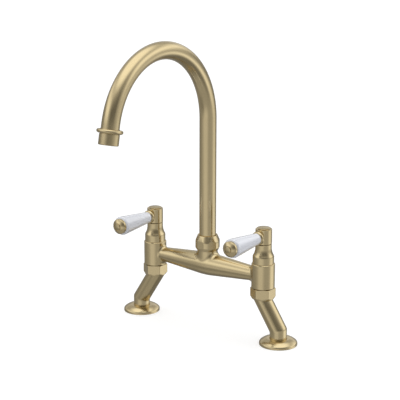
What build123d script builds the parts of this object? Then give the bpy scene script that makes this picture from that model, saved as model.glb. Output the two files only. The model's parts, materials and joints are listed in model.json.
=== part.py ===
from build123d import *
import math
import os

# Deck-mounted bridge kitchen faucet. Millimetres, +Z up. The origin is on the deck, midway
# between the two feet. The bridge lies along X, with hot on -X and cold on +X. The spout and
# both levers point to the front, -Y.

# ---- clearances ----
SEAT_GAP = 0.02        # between faces that are clamped together
THREAD_GAP = 0.05      # radial, between a thread and its hole
RUN_GAP = 0.05         # between faces that turn on each other
FREE_GAP = 0.35        # between outer pieces that turn past each other
HUB_GAP = 0.65         # between a handle's hub and the bonnet under it
OVERRUN = 1.0          # how far a cut runs past a face that it opens

# ---- feet and legs ----
FOOT_CENTRES = 230.2
LEG_R = 11.3
LEG_WATERWAY_R = 7.0
ELBOW_Z = 19.0         # height where the leg's upright and slanted centre lines meet
LEG_CASTING_H = 58.25  # the slanted casting is cut off level at this height
KNEE_DROP = 0.75       # the slanted centre line crosses the pillar's axis this far below the cut
INLET_R = 9.3          # hole for a half-inch pipe thread, in the foot
INLET_DEPTH = 14.0
FLANGE_R = 25.2
FLANGE_RIM_H = 2.0
FLANGE_SHOULDER = 1.0  # how far the steep rounding over the rim draws in
FLANGE_SHOULDER_H = 2.2
FLANGE_H = 8.3
FLANGE_CROWN_R = 13.5  # radius where the dome becomes level
FLANGE_SLIP = 0.15     # the flange slides on the leg
GASKET_T = 1.6
GASKET_EDGE = 1.7      # rim of brass round the gasket

# ---- union between leg and pillar ----
UNION_SPIGOT_R = 10.2
UNION_COLLAR_R = 12.8
UNION_COLLAR_T = 2.4
UNION_WASHER_T = 2.0
UNION_WASHER_BORE_R = 9.0
UNION_NUT_AF = 29.3
UNION_NUT_TURN = 30.0        # degrees, from +X to the nearest corner
UNION_LIP_T = 2.6
UNION_NUT_TOP_CHAMFER = 0.4
UNION_NUT_FOOT_TAPER = 2.8   # height of the turned taper under the hexagon
UNION_NUT_FOOT_R = 14.6
UNION_THREAD_R = 13.2
UNION_THREAD_L = 7.4
NUT_TOP_GAP = 0.2            # between the nut and the pillar's shoulder

# ---- pillars and bridge ----
PILLAR_CENTRES = 180.0
PILLAR_R = 15.45
PILLAR_H = 33.3
PILLAR_CHAMFER = 0.8
PILLAR_WATERWAY_R = 8.0
SEAT_RISE = 13.3             # valve seat over the pillar's spigot end
VALVE_CHAMBER_R = 10.9
VALVE_CHAMBER_H = 15.0
BRIDGE_RISE = 16.1           # bridge axis over the pillar's foot
BRIDGE_MID_R = 15.33
BRIDGE_CROWN_R = 130.0       # radius of the bridge's long curve at its middle
BRIDGE_TAPER = 4.67          # degrees, from that curve to the pillars
BRIDGE_WATERWAY_R = 5.5
BRIDGE_FILLET = 5.0
BOSS_R = 13.6
BOSS_RISE = 19.8             # plain boss over the bridge axis
BOSS_FILLET = 4.0
BOSS_THREAD_R = 13.0
BOSS_THREAD_L = 13.0
BOSS_THROAT_R = 7.5
BOSS_BORE_L = 24.0

# ---- spout ----
SPOUT_R = 11.33
SPOUT_WALL = 1.53
SPOUT_RISER_L = 163.6
SPOUT_ARC_R = 98.8
SPOUT_SWEEP = 168.5          # degrees of arc from the riser to the outlet
SPOUT_TAIL_L = 8.3
SPIGOT_R = 9.65
SPIGOT_BORE_R = 6.8
SPIGOT_L = 21.0              # below its flange
SPIGOT_FLANGE_R = 12.6
SPIGOT_FLANGE_T = 1.95
SPIGOT_SOCKET_L = 11.0       # inside the tube
ORING_WIRE_R = 0.75
ORING_LAND = 4.5             # from the spigot's end to its first O-ring
ORING_PITCH = 6.0
SLIP_RING_T = 1.2
SPOUT_NUT_R = 16.8
SPOUT_NUT_AF = 31.9
SPOUT_NUT_TURN = -0.5        # degrees, from +X to the nearest corner between flats
SPOUT_NUT_TAPER_IN = 2.4     # how far the foot's taper runs in
SPOUT_NUT_TAPER_H = 4.25
SPOUT_NUT_WALL_H = 8.4
SPOUT_NUT_CONE_H = 8.2
SPOUT_NUT_RIM = 1.6          # from the tube's hole to the cone's upper edge
SPOUT_NUT_LIP = 0.5          # level lip inside that edge
SPOUT_NUT_SINK = 1.2         # depth of the hole's countersink

# ---- outlet, stations along the flow from the end of the spout's arc ----
BEAD_AT = 6.9
BEAD_R = 16.2
BEAD_T = 5.0
OUTLET_NECK_R = 11.8
OUTLET_NECK_L = 6.2
OUTLET_THREAD_R = 10.9
OUTLET_THREAD_L = 4.6
OUTLET_BORE_R = 8.5
HOUSING_R = 12.45
HOUSING_L = 13.5
HOUSING_EDGE = 0.6
HOUSING_LIP_T = 1.5
HOUSING_LIP_R = 9.4
AERATOR_WASHER_T = 1.0
AERATOR_HOLE_R = 0.65
AERATOR_RINGS = 4

# ---- bonnets ----
BONNET_R = 14.1
BONNET_RING_H = 8.6
BONNET_BROW_IN = 0.6         # how far the rounded brow over the ring draws in
BONNET_BROW_H = 2.3
BONNET_FLARE_R = 20.7        # concave arc up to the neck
BONNET_NECK_R = 10.8
BONNET_NECK_RISE = 21.1      # where the flare becomes the neck
BONNET_H = 26.1
BONNET_TOP_T = 2.0
BONNET_THREAD_H = 6.6
BONNET_HOLLOW_R = 9.0
BONNET_EDGE = 0.3

# ---- valve cartridge ----
CARTRIDGE_THREAD_R = 11.75
BARREL_R = 10.5
DISC_R = 8.5
DISC_T = 3.0
SEAL_H = 2.6
SEAL_BORE_R = 6.2
DISC_PORT_R = 6.6
DISC_PORT_HUB_R = 1.8
DISC_PORT_ARC = 76.0         # degrees
DOG_L = 15.0
DOG_W = 4.8
DOG_H = 3.7
DOG_SLOT_DEPTH = 1.2
DOG_SLOT_GAP = 0.1
BARREL_FOOT_RISE = 1.6       # barrel's lower end over the valve seat
BARREL_WEB = 1.0             # how far the barrel's bore runs up behind its thread
WINDOW_W = 9.0
WINDOW_H = 5.0
WINDOW_DROP = 1.0            # between the windows and the chamber's top
STEM_R = 3.6
SHOULDER_R = 7.2
SHOULDER_T = 2.35
JOURNAL_R = 6.0
THRUST_WASHER_T = 1.0
CARTRIDGE_NECK_R = 8.2
CARTRIDGE_NECK_H = 15.0
SPINDLE_ORING_RISE = 10.0    # O-ring centre over the thrust washer
SPINDLE_ORING_WIRE_R = 0.8
CIRCLIP_T = 0.8
CIRCLIP_R = 7.0
CIRCLIP_GROOVE_R = 5.2
CIRCLIP_MOUTH = 4.0
CIRCLIP_LAND = 0.5           # spindle left over the circlip
SPLINE_R = 4.4
SPLINE_ROOT_R = 3.95
SPLINE_TEETH = 20
SPLINE_L = 13.4
HANDLE_SCREW_R = 2.0
HANDLE_SCREW_SLIP = 0.2      # radial, in the hub
HANDLE_SCREW_L = 13.5
HANDLE_SCREW_HEAD_R = 3.6
HANDLE_SCREW_HEAD_H = 2.4
HANDLE_SCREW_SOCKET_AF = 2.5
HANDLE_SCREW_SOCKET_H = 1.2

# ---- handles ----
HUB_R = 10.9
HUB_H = 19.5
HUB_EDGE = 0.35
CAP_NECK_R = 6.4             # index cap's neck, under its wider rim
CAP_NECK_H = 1.2             # height of the dark gap under the rim
CAP_R = 9.0
CAP_RIM_H = 0.15
CAP_FLAT_R = 7.9
CAP_BEVEL_H = 0.35
CAP_CROWN = 0.75             # how far the cap's face bulges
CAP_STUB_R = 5.5
CAP_STUB_H = 1.2
HUB_WEB_T = 3.0
HUB_POCKET_H = 6.1
LEVER_RISE = 9.41            # lever axis over the hub's lower face
STUD_R = 2.95
STUD_INSIDE_HUB = 4.7
STUD_HOLE_SPARE = 0.2        # hole in the hub past the stud's end
COLLAR_R = 9.1
COLLAR_ROUND = 2.8
COLLAR_ROUND_TURN = 64.0     # degrees of the bead's round, from its crown to its end face
COLLAR_AT = 13.9             # from the handle's axis to the middle of the collar's bead
LEVER_WASHER_T = 0.4
CERAMIC_L = 56.65
CERAMIC_ROOT_R = 7.7
CERAMIC_TIP_R = 12.5
CERAMIC_ROOT_ROUND = 1.3
CERAMIC_SHOULDER = 2.6       # length of the rounded shoulder before the end cap
CERAMIC_SEAT_R = 10.2
CERAMIC_HOLE_R = 3.3
END_CAP_R = 10.2
END_CAP_RIM_T = 3.2
END_CAP_L = 7.4
END_CAP_GROOVE_R = 5.0
END_CAP_GROOVE_DEPTH = 0.7
END_CAP_BUTTON_R = 4.1
STUD_TAPPED = 3.9            # stud's length inside the end cap

# ---- heights that follow from the sizes above ----
UNION_NUT_FOOT = LEG_CASTING_H + FREE_GAP
UNION_LIP_TOP = UNION_NUT_FOOT + UNION_LIP_T
UNION_COLLAR_TOP = UNION_LIP_TOP + RUN_GAP + UNION_COLLAR_T
UNION_WASHER_FOOT = UNION_COLLAR_TOP + RUN_GAP
PILLAR_SPIGOT_FOOT = UNION_WASHER_FOOT + UNION_WASHER_T + SEAT_GAP
PILLAR_FOOT = PILLAR_SPIGOT_FOOT + UNION_THREAD_L
UNION_NUT_TOP = PILLAR_FOOT - NUT_TOP_GAP
PILLAR_TOP = PILLAR_FOOT + PILLAR_H
BRIDGE_Z = PILLAR_FOOT + BRIDGE_RISE
KNEE_Z = LEG_CASTING_H - KNEE_DROP
VALVE_SEAT_Z = PILLAR_SPIGOT_FOOT + SEAT_RISE
CHAMBER_TOP = VALVE_SEAT_Z + VALVE_CHAMBER_H
BOSS_SHOULDER = BRIDGE_Z + BOSS_RISE
BOSS_TOP = BOSS_SHOULDER + BOSS_THREAD_L
BOSS_BORE_R = SPIGOT_R + RUN_GAP
SPIGOT_FLANGE_FOOT = BOSS_TOP + RUN_GAP
TUBE_FOOT = SPIGOT_FLANGE_FOOT + SPIGOT_FLANGE_T + SEAT_GAP
TUBE_BORE_R = SPOUT_R - SPOUT_WALL
SLIP_RING_FOOT = TUBE_FOOT + RUN_GAP
SPOUT_NUT_SHOULDER = SLIP_RING_FOOT + SLIP_RING_T + SEAT_GAP
SPOUT_NUT_HOLE_R = SPOUT_R + FREE_GAP
SPOUT_NUT_FOOT = BOSS_SHOULDER + SEAT_GAP
RISER_TOP = TUBE_FOOT + SPOUT_RISER_L

DISC_SEAT = VALVE_SEAT_Z + SEAL_H
MOVING_DISC_FOOT = DISC_SEAT + DISC_T + SEAT_GAP
DISC_TOP = MOVING_DISC_FOOT + DISC_T
DOG_FOOT = DISC_TOP - DOG_SLOT_DEPTH + DOG_SLOT_GAP
CARTRIDGE_SHOULDER = CHAMBER_TOP + SEAT_GAP
SPINDLE_SHOULDER = CARTRIDGE_SHOULDER
THRUST_FOOT = SPINDLE_SHOULDER + SHOULDER_T + RUN_GAP
THRUST_SEAT = THRUST_FOOT + THRUST_WASHER_T + RUN_GAP
CARTRIDGE_THREAD_TOP = PILLAR_TOP + BONNET_THREAD_H
CARTRIDGE_TOP = CARTRIDGE_THREAD_TOP + CARTRIDGE_NECK_H
CIRCLIP_FOOT = CARTRIDGE_TOP + FREE_GAP
SPINDLE_NECK_TOP = CIRCLIP_FOOT + CIRCLIP_T + CIRCLIP_LAND
SPINDLE_TOP = SPINDLE_NECK_TOP + SPLINE_L
JOURNAL_BORE_R = JOURNAL_R + RUN_GAP
BONNET_FOOT = PILLAR_TOP + SEAT_GAP
BONNET_TOP = BONNET_FOOT + BONNET_H
HUB_FOOT = BONNET_TOP + HUB_GAP
HUB_TOP = HUB_FOOT + HUB_H
SCREW_SEAT = HUB_TOP - HUB_POCKET_H
SPINDLE_SOCKET_TOP = SCREW_SEAT - HUB_WEB_T
LEVER_Z = HUB_FOOT + LEVER_RISE
COLLAR_END = COLLAR_AT + COLLAR_ROUND * math.sin(math.radians(COLLAR_ROUND_TURN))
CERAMIC_ROOT = COLLAR_END + LEVER_WASHER_T + SEAT_GAP
CERAMIC_END = CERAMIC_ROOT + CERAMIC_L
END_CAP_FACE = CERAMIC_END + LEVER_WASHER_T + SEAT_GAP
STUD_END = END_CAP_FACE + STUD_TAPPED
STUD_HOLE_R = STUD_R + THREAD_GAP
SCREW_HOLE_R = HANDLE_SCREW_R + HANDLE_SCREW_SLIP
SPINDLE_HOLE_R = SPLINE_R + 2 * FREE_GAP
BARREL_BORE_R = DISC_R + 2 * THREAD_GAP

SPOUT_DIRECTION = (0, -math.sin(math.radians(SPOUT_SWEEP)), math.cos(math.radians(SPOUT_SWEEP)))
SPOUT_ARC_END = (
    0,
    SPOUT_ARC_R * (math.cos(math.radians(SPOUT_SWEEP)) - 1),
    RISER_TOP + SPOUT_ARC_R * math.sin(math.radians(SPOUT_SWEEP)),
)
OUTLET = Plane(origin=SPOUT_ARC_END, x_dir=(1, 0, 0), z_dir=SPOUT_DIRECTION)
HOUSING_AT = BEAD_AT + OUTLET_NECK_L / 2
HOUSING_END = HOUSING_AT + HOUSING_L
OUTLET_THREAD_END = HOUSING_AT + OUTLET_THREAD_L
HOUSING_BORE_R = OUTLET_THREAD_R + THREAD_GAP
AERATOR_TOP = OUTLET_THREAD_END + AERATOR_WASHER_T + 2 * SEAT_GAP
AERATOR_FOOT = HOUSING_END - HOUSING_LIP_T - SEAT_GAP

SIDES = {"hot": -1, "cold": 1}


# ---- shapes used more than once ----
def arc(through, to):
    """A step of an outline that bends through one (radius, height) point to the next."""
    return {"through": through, "to": to}


def in_section(point):
    """Place of a (radius, height) point in the XZ plane."""
    return (point[0], 0, point[1])


def turned(*outline):
    """Solid turned about Z from (radius, height) corners, with arcs where the outline bends."""
    spot = outline[0]
    edges = []
    for step in (*outline[1:], outline[0]):
        if isinstance(step, dict):
            bend, end = step["through"], step["to"]
            edges.append(ThreePointArc(in_section(spot), in_section(bend), in_section(end)))
        else:
            end = step
            edges.append(Line(in_section(spot), in_section(end)))
        spot = end
    return revolve(make_face(edges), Axis.Z)


def rod(radius, foot, top):
    """Round bar on the Z axis."""
    return Pos(0, 0, foot) * Cylinder(radius, top - foot, align=(Align.CENTER, Align.CENTER, Align.MIN))


def ring(inner_radius, outer_radius, foot, top):
    """Plain ring or washer on the Z axis."""
    return rod(outer_radius, foot, top) - rod(inner_radius, foot - OVERRUN, top + OVERRUN)


def bowed(centre, radius, start, end):
    """Point of a circle halfway between two of its points, all as (radius, height)."""
    middle = ((start[0] + end[0]) / 2 - centre[0], (start[1] + end[1]) / 2 - centre[1])
    reach = radius / math.hypot(*middle)
    return (centre[0] + middle[0] * reach, centre[1] + middle[1] * reach)


def rounding(start, end):
    """A step of an outline that leaves its start straight up and bends inwards to its end."""
    across, along = start[0] - end[0], end[1] - start[1]
    radius = (across ** 2 + along ** 2) / (2 * across)
    return arc(bowed((start[0] - radius, start[1]), radius, start, end), end)


def hexagon_bar(across_flats, foot, top, turn):
    """Hexagonal bar on the Z axis, with a corner at the given angle from +X."""
    face = RegularPolygon(across_flats / 2, 6, major_radius=False, rotation=turn)
    return Pos(0, 0, foot) * extrude(face, top - foot)


def splined_bar(gap, foot, top):
    """Splined bar for the handle's end of the spindle, grown by a gap for its socket."""
    corners = []
    for step in range(2 * SPLINE_TEETH):
        radius = (SPLINE_R if step % 2 == 0 else SPLINE_ROOT_R) + gap
        angle = math.pi * step / SPLINE_TEETH
        corners.append((radius * math.cos(angle), radius * math.sin(angle)))
    return Pos(0, 0, foot) * extrude(make_face(Polyline(*corners, close=True)), top - foot)


def along_lever(part):
    """Turn a part made on the Z axis so that its +Z runs out along the lever."""
    return Pos(0, 0, LEVER_Z) * Rot(90, 0, 0) * part


# ---- legs and feet ----
def leg(side):
    """Cranked leg: upright foot, mitred elbow, slanted tube, level top and union spigot."""
    foot_x, pillar_x = FOOT_CENTRES / 2, PILLAR_CENTRES / 2
    elbow, knee = Vector(foot_x, 0, ELBOW_Z), Vector(pillar_x, 0, KNEE_Z)
    slope = (knee - elbow).normalized()
    mitre = Plane(origin=elbow, z_dir=slope + Vector(0, 0, 1))
    slanted_line = Plane(origin=elbow, x_dir=(0, 1, 0), z_dir=slope)
    slant_l = (knee - elbow).length
    upright = Pos(foot_x, 0, 0) * rod(LEG_R, 0, ELBOW_Z + 2 * LEG_R)
    slanted = slanted_line * rod(LEG_R, -2 * LEG_R, slant_l + 2 * LEG_R)
    body = split(upright, bisect_by=mitre, keep=Keep.BOTTOM)
    body += split(slanted, bisect_by=mitre, keep=Keep.TOP)
    body = split(body, bisect_by=Plane.XY.offset(LEG_CASTING_H), keep=Keep.BOTTOM)
    collar_foot = UNION_LIP_TOP + RUN_GAP
    body += Pos(pillar_x, 0, 0) * (
        rod(UNION_SPIGOT_R, KNEE_Z, collar_foot)
        + rod(UNION_COLLAR_R, collar_foot, UNION_COLLAR_TOP)
    )
    body -= Pos(foot_x, 0, 0) * (rod(INLET_R, -OVERRUN, INLET_DEPTH) + rod(LEG_WATERWAY_R, 0, ELBOW_Z))
    body -= Pos(foot_x, 0, ELBOW_Z) * Sphere(LEG_WATERWAY_R)
    body -= slanted_line * rod(LEG_WATERWAY_R, 0, slant_l)
    body -= Pos(pillar_x, 0, KNEE_Z) * Sphere(LEG_WATERWAY_R)
    body -= Pos(pillar_x, 0, 0) * rod(LEG_WATERWAY_R, KNEE_Z, UNION_COLLAR_TOP + OVERRUN)
    return body if side > 0 else mirror(body, Plane.YZ)


def flange(side):
    """Domed deck flange, with a recess for its gasket underneath."""
    hole = LEG_R + FLANGE_SLIP
    shoulder = (FLANGE_R - FLANGE_SHOULDER, FLANGE_RIM_H + FLANGE_SHOULDER_H)
    crown = (FLANGE_CROWN_R, FLANGE_H)
    run, rise = shoulder[0] - crown[0], crown[1] - shoulder[1]
    dome_r = (run ** 2 + rise ** 2) / (2 * rise)
    dome_centre = (FLANGE_CROWN_R, FLANGE_H - dome_r)
    rim_top = (FLANGE_R, FLANGE_RIM_H)
    recess = FLANGE_R - GASKET_EDGE
    return Pos(side * FOOT_CENTRES / 2, 0, 0) * turned(
        (recess, 0), (FLANGE_R, 0), rim_top, rounding(rim_top, shoulder),
        arc(bowed(dome_centre, dome_r, shoulder, crown), crown), (hole, FLANGE_H),
        (hole, GASKET_T), (recess, GASKET_T),
    )


def flange_gasket(side):
    """Flat rubber ring in the flange's recess."""
    return Pos(side * FOOT_CENTRES / 2, 0, 0) * ring(
        LEG_R + FLANGE_SLIP, FLANGE_R - GASKET_EDGE - SEAT_GAP, 0, GASKET_T - SEAT_GAP)


# ---- union ----
def leg_nut():
    """Hexagonal union nut: turned taper at its foot, lip under the leg's collar, thread above."""
    corner_r = UNION_NUT_AF / math.sqrt(3)
    taper_top = UNION_NUT_FOOT + UNION_NUT_FOOT_TAPER
    blank = turned(
        (0, UNION_NUT_FOOT), (UNION_NUT_FOOT_R, UNION_NUT_FOOT), (corner_r, taper_top),
        (corner_r, UNION_NUT_TOP - UNION_NUT_TOP_CHAMFER),
        (corner_r - 2 * UNION_NUT_TOP_CHAMFER, UNION_NUT_TOP), (0, UNION_NUT_TOP),
    )
    bar = hexagon_bar(UNION_NUT_AF, UNION_NUT_FOOT, UNION_NUT_TOP, UNION_NUT_TURN)
    thread = rod(UNION_THREAD_R + THREAD_GAP, UNION_LIP_TOP, UNION_NUT_TOP + OVERRUN)
    spigot_hole = rod(UNION_SPIGOT_R + FREE_GAP, UNION_NUT_FOOT - OVERRUN, UNION_LIP_TOP + OVERRUN)
    return (blank & bar) - thread - spigot_hole


def leg_washer():
    """Fibre washer that the union nut presses between collar and pillar."""
    top = UNION_WASHER_FOOT + UNION_WASHER_T
    return ring(UNION_WASHER_BORE_R, UNION_COLLAR_R, UNION_WASHER_FOOT, top)


# ---- body ----
def fused_with_fillet(first, second, radius):
    """Fuse two solids and round the edges where they meet."""
    both = first + second
    return fillet(new_edges(first, second, combined=both), radius)


def bridge_tube():
    """Bridge between the pillars: a long curve at the middle, then a straight taper each way."""
    taper = math.radians(BRIDGE_TAPER)
    curve_x = BRIDGE_CROWN_R * math.sin(taper)
    curve_r = BRIDGE_MID_R - BRIDGE_CROWN_R * (1 - math.cos(taper))
    end_x = PILLAR_CENTRES / 2
    end_r = curve_r - math.tan(taper) * (end_x - curve_x)
    outline = [
        Line((-end_x, 0, 0), (-end_x, 0, -end_r)),
        Line((-end_x, 0, -end_r), (-curve_x, 0, -curve_r)),
        ThreePointArc((-curve_x, 0, -curve_r), (0, 0, -BRIDGE_MID_R), (curve_x, 0, -curve_r)),
        Line((curve_x, 0, -curve_r), (end_x, 0, -end_r)),
        Line((end_x, 0, -end_r), (end_x, 0, 0)),
        Line((end_x, 0, 0), (-end_x, 0, 0)),
    ]
    return Pos(0, 0, BRIDGE_Z) * revolve(make_face(outline), Axis.X)


def bridge_body():
    """One casting: two pillars, the tapered bridge between them, and the spout boss."""
    body = fused_with_fillet(bridge_tube(), rod(BOSS_R, BRIDGE_Z, BOSS_SHOULDER), BOSS_FILLET)
    for side in SIDES.values():
        pillar = Pos(side * PILLAR_CENTRES / 2, 0, 0) * turned(
            (0, PILLAR_FOOT), (PILLAR_R - PILLAR_CHAMFER, PILLAR_FOOT),
            (PILLAR_R, PILLAR_FOOT + PILLAR_CHAMFER), (PILLAR_R, PILLAR_TOP - PILLAR_CHAMFER),
            (PILLAR_R - PILLAR_CHAMFER, PILLAR_TOP), (0, PILLAR_TOP),
        )
        body = fused_with_fillet(body, pillar, BRIDGE_FILLET)
    body += rod(BOSS_THREAD_R, BOSS_SHOULDER, BOSS_TOP)
    body -= rod(BOSS_THROAT_R, BRIDGE_Z, BOSS_TOP)
    body -= rod(BOSS_BORE_R, BOSS_TOP - BOSS_BORE_L, BOSS_TOP + OVERRUN)
    half_bore = PILLAR_CENTRES / 2 - VALVE_CHAMBER_R / 2
    body -= Pos(0, 0, BRIDGE_Z) * Rot(0, 90, 0) * rod(BRIDGE_WATERWAY_R, -half_bore, half_bore)
    for side in SIDES.values():
        at = Pos(side * PILLAR_CENTRES / 2, 0, 0)
        body += at * rod(UNION_THREAD_R, PILLAR_SPIGOT_FOOT, PILLAR_FOOT)
        body -= at * (
            rod(PILLAR_WATERWAY_R, PILLAR_SPIGOT_FOOT - OVERRUN, VALVE_SEAT_Z)
            + rod(VALVE_CHAMBER_R, VALVE_SEAT_Z, CHAMBER_TOP)
            + rod(CARTRIDGE_THREAD_R + THREAD_GAP, CHAMBER_TOP, PILLAR_TOP + OVERRUN)
        )
    return body


# ---- valve cartridges ----
def seat_seal():
    """Rubber seal between the valve seat and the fixed disc."""
    return ring(SEAL_BORE_R, DISC_R - SEAT_GAP, VALVE_SEAT_Z + SEAT_GAP, DISC_SEAT - SEAT_GAP)


def ported_disc(foot, turn):
    """Ceramic disc with two opposite sector ports, turned by an angle about Z."""
    top = foot + DISC_T
    outline = Polyline(
        (DISC_PORT_HUB_R, 0, foot - OVERRUN), (DISC_PORT_R, 0, foot - OVERRUN),
        (DISC_PORT_R, 0, top + OVERRUN), (DISC_PORT_HUB_R, 0, top + OVERRUN), close=True,
    )
    port = revolve(make_face(outline), Axis.Z, DISC_PORT_ARC)
    disc = rod(DISC_R, foot, top)
    for start in (turn - DISC_PORT_ARC / 2, turn + 180 - DISC_PORT_ARC / 2):
        disc -= Rot(0, 0, start) * port
    return disc


def fixed_disc():
    """Lower ceramic disc, held still by the cartridge."""
    return ported_disc(DISC_SEAT, 0)


def moving_disc():
    """Upper ceramic disc, a quarter turn round at rest so that its ports are shut."""
    slot_w = DOG_W + 2 * DOG_SLOT_GAP
    slot = Pos(0, 0, DISC_TOP - DOG_SLOT_DEPTH) * Box(
        3 * DISC_R, slot_w, 2 * DOG_SLOT_DEPTH, align=(Align.CENTER, Align.CENTER, Align.MIN))
    return ported_disc(MOVING_DISC_FOOT, 90) - slot


def spindle():
    """Spindle: dog bar in the disc's slot, shoulder, grooved journal and splined top."""
    shoulder_top = SPINDLE_SHOULDER + SHOULDER_T
    body = Pos(0, 0, DOG_FOOT) * Box(DOG_L, DOG_W, DOG_H, align=(Align.CENTER, Align.CENTER, Align.MIN))
    body += rod(STEM_R, DOG_FOOT + DOG_H - OVERRUN, SPINDLE_SHOULDER)
    body += rod(SHOULDER_R, SPINDLE_SHOULDER, shoulder_top)
    body += rod(JOURNAL_R, shoulder_top, SPINDLE_NECK_TOP) + splined_bar(0, shoulder_top, SPINDLE_TOP)
    oring_z = THRUST_SEAT + SPINDLE_ORING_RISE
    groove_half = SPINDLE_ORING_WIRE_R + 2 * RUN_GAP
    groove_floor = JOURNAL_R - 2 * SPINDLE_ORING_WIRE_R
    body -= ring(groove_floor, JOURNAL_R + OVERRUN, oring_z - groove_half, oring_z + groove_half)
    body -= ring(
        CIRCLIP_GROOVE_R, JOURNAL_R + OVERRUN, CIRCLIP_FOOT - SEAT_GAP, CIRCLIP_FOOT + CIRCLIP_T + SEAT_GAP)
    hole_foot = SCREW_SEAT - HANDLE_SCREW_L - OVERRUN
    return body - rod(HANDLE_SCREW_R + THREAD_GAP, hole_foot, SPINDLE_TOP + OVERRUN)


def spindle_oring():
    """O-ring in the spindle's groove."""
    oring_z = THRUST_SEAT + SPINDLE_ORING_RISE
    centre_r = JOURNAL_R + SEAT_GAP - SPINDLE_ORING_WIRE_R
    return Pos(0, 0, oring_z) * Torus(centre_r, SPINDLE_ORING_WIRE_R)


def thrust_washer():
    """Slippery washer between the spindle's shoulder and the housing."""
    return ring(JOURNAL_R + THREAD_GAP, SHOULDER_R, THRUST_FOOT, THRUST_FOOT + THRUST_WASHER_T)


def circlip():
    """Open spring ring in the spindle's upper groove."""
    mouth = Pos(0, -CIRCLIP_R, CIRCLIP_FOOT) * Box(CIRCLIP_MOUTH, 2 * CIRCLIP_R, 3 * CIRCLIP_T)
    return ring(CIRCLIP_GROOVE_R + SEAT_GAP, CIRCLIP_R, CIRCLIP_FOOT, CIRCLIP_FOOT + CIRCLIP_T) - mouth


def valve_housing():
    """Cartridge: barrel round the discs with two windows, thread, and a neck for the spindle."""
    foot = VALVE_SEAT_Z + BARREL_FOOT_RISE
    barrel_end = CARTRIDGE_SHOULDER + BARREL_WEB
    shoulder_bore = SHOULDER_R + FREE_GAP
    body = turned(
        (BARREL_BORE_R, foot), (BARREL_R, foot), (BARREL_R, CARTRIDGE_SHOULDER),
        (CARTRIDGE_THREAD_R, CARTRIDGE_SHOULDER), (CARTRIDGE_THREAD_R, CARTRIDGE_THREAD_TOP),
        (CARTRIDGE_NECK_R, CARTRIDGE_THREAD_TOP), (CARTRIDGE_NECK_R, CARTRIDGE_TOP),
        (JOURNAL_BORE_R, CARTRIDGE_TOP), (JOURNAL_BORE_R, THRUST_SEAT), (shoulder_bore, THRUST_SEAT),
        (shoulder_bore, barrel_end), (BARREL_BORE_R, barrel_end),
    )
    window_z = CHAMBER_TOP - WINDOW_DROP - WINDOW_H / 2
    return body - Pos(0, 0, window_z) * Box(3 * BARREL_R, WINDOW_W, WINDOW_H)


# ---- bonnets ----
def bonnet():
    """Bonnet: plain ring, rounded brow, flare and neck, closed at the top round the spline."""
    ring_top = BONNET_FOOT + BONNET_RING_H
    brow_start = (BONNET_R, ring_top)
    brow_end = (BONNET_R - BONNET_BROW_IN, ring_top + BONNET_BROW_H)
    neck_start = (BONNET_NECK_R, BONNET_FOOT + BONNET_NECK_RISE)
    flare_centre = (BONNET_NECK_R + BONNET_FLARE_R, neck_start[1])
    thread_bore = CARTRIDGE_THREAD_R + THREAD_GAP
    thread_top = CARTRIDGE_THREAD_TOP + FREE_GAP
    under_top = BONNET_TOP - BONNET_TOP_T
    return turned(
        (thread_bore, BONNET_FOOT), (BONNET_R, BONNET_FOOT), brow_start, rounding(brow_start, brow_end),
        arc(bowed(flare_centre, BONNET_FLARE_R, brow_end, neck_start), neck_start),
        (BONNET_NECK_R, BONNET_TOP - BONNET_EDGE), (BONNET_NECK_R - BONNET_EDGE, BONNET_TOP),
        (SPINDLE_HOLE_R, BONNET_TOP), (SPINDLE_HOLE_R, under_top), (BONNET_HOLLOW_R, under_top),
        (BONNET_HOLLOW_R, thread_top + BONNET_HOLLOW_R), (thread_bore, thread_top),
    )


# ---- handles ----
def handle_hub():
    """Hub on the spline: screw pocket under the cap, tapped side hole for the lever's stud."""
    pocket_r = CAP_STUB_R + SEAT_GAP
    body = turned(
        (0, HUB_FOOT), (HUB_R - HUB_EDGE, HUB_FOOT), (HUB_R, HUB_FOOT + HUB_EDGE),
        (HUB_R, HUB_TOP - HUB_EDGE), (HUB_R - HUB_EDGE, HUB_TOP), (pocket_r, HUB_TOP),
        (pocket_r, SCREW_SEAT), (0, SCREW_SEAT),
    )
    body -= rod(SCREW_HOLE_R, HUB_FOOT, SCREW_SEAT + OVERRUN)
    body -= splined_bar(THREAD_GAP, HUB_FOOT - OVERRUN, SPINDLE_SOCKET_TOP)
    return body - along_lever(rod(STUD_HOLE_R, HUB_R - STUD_INSIDE_HUB - STUD_HOLE_SPARE, HUB_R + OVERRUN))


def handle_screw():
    """Socket screw that holds the hub on the spindle."""
    body = rod(HANDLE_SCREW_HEAD_R, SCREW_SEAT + SEAT_GAP, SCREW_SEAT + HANDLE_SCREW_HEAD_H)
    body += rod(HANDLE_SCREW_R, SCREW_SEAT - HANDLE_SCREW_L, SCREW_SEAT + SEAT_GAP)
    head_top = SCREW_SEAT + HANDLE_SCREW_HEAD_H
    return body - hexagon_bar(
        HANDLE_SCREW_SOCKET_AF, head_top - HANDLE_SCREW_SOCKET_H, head_top + OVERRUN, 0)


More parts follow.
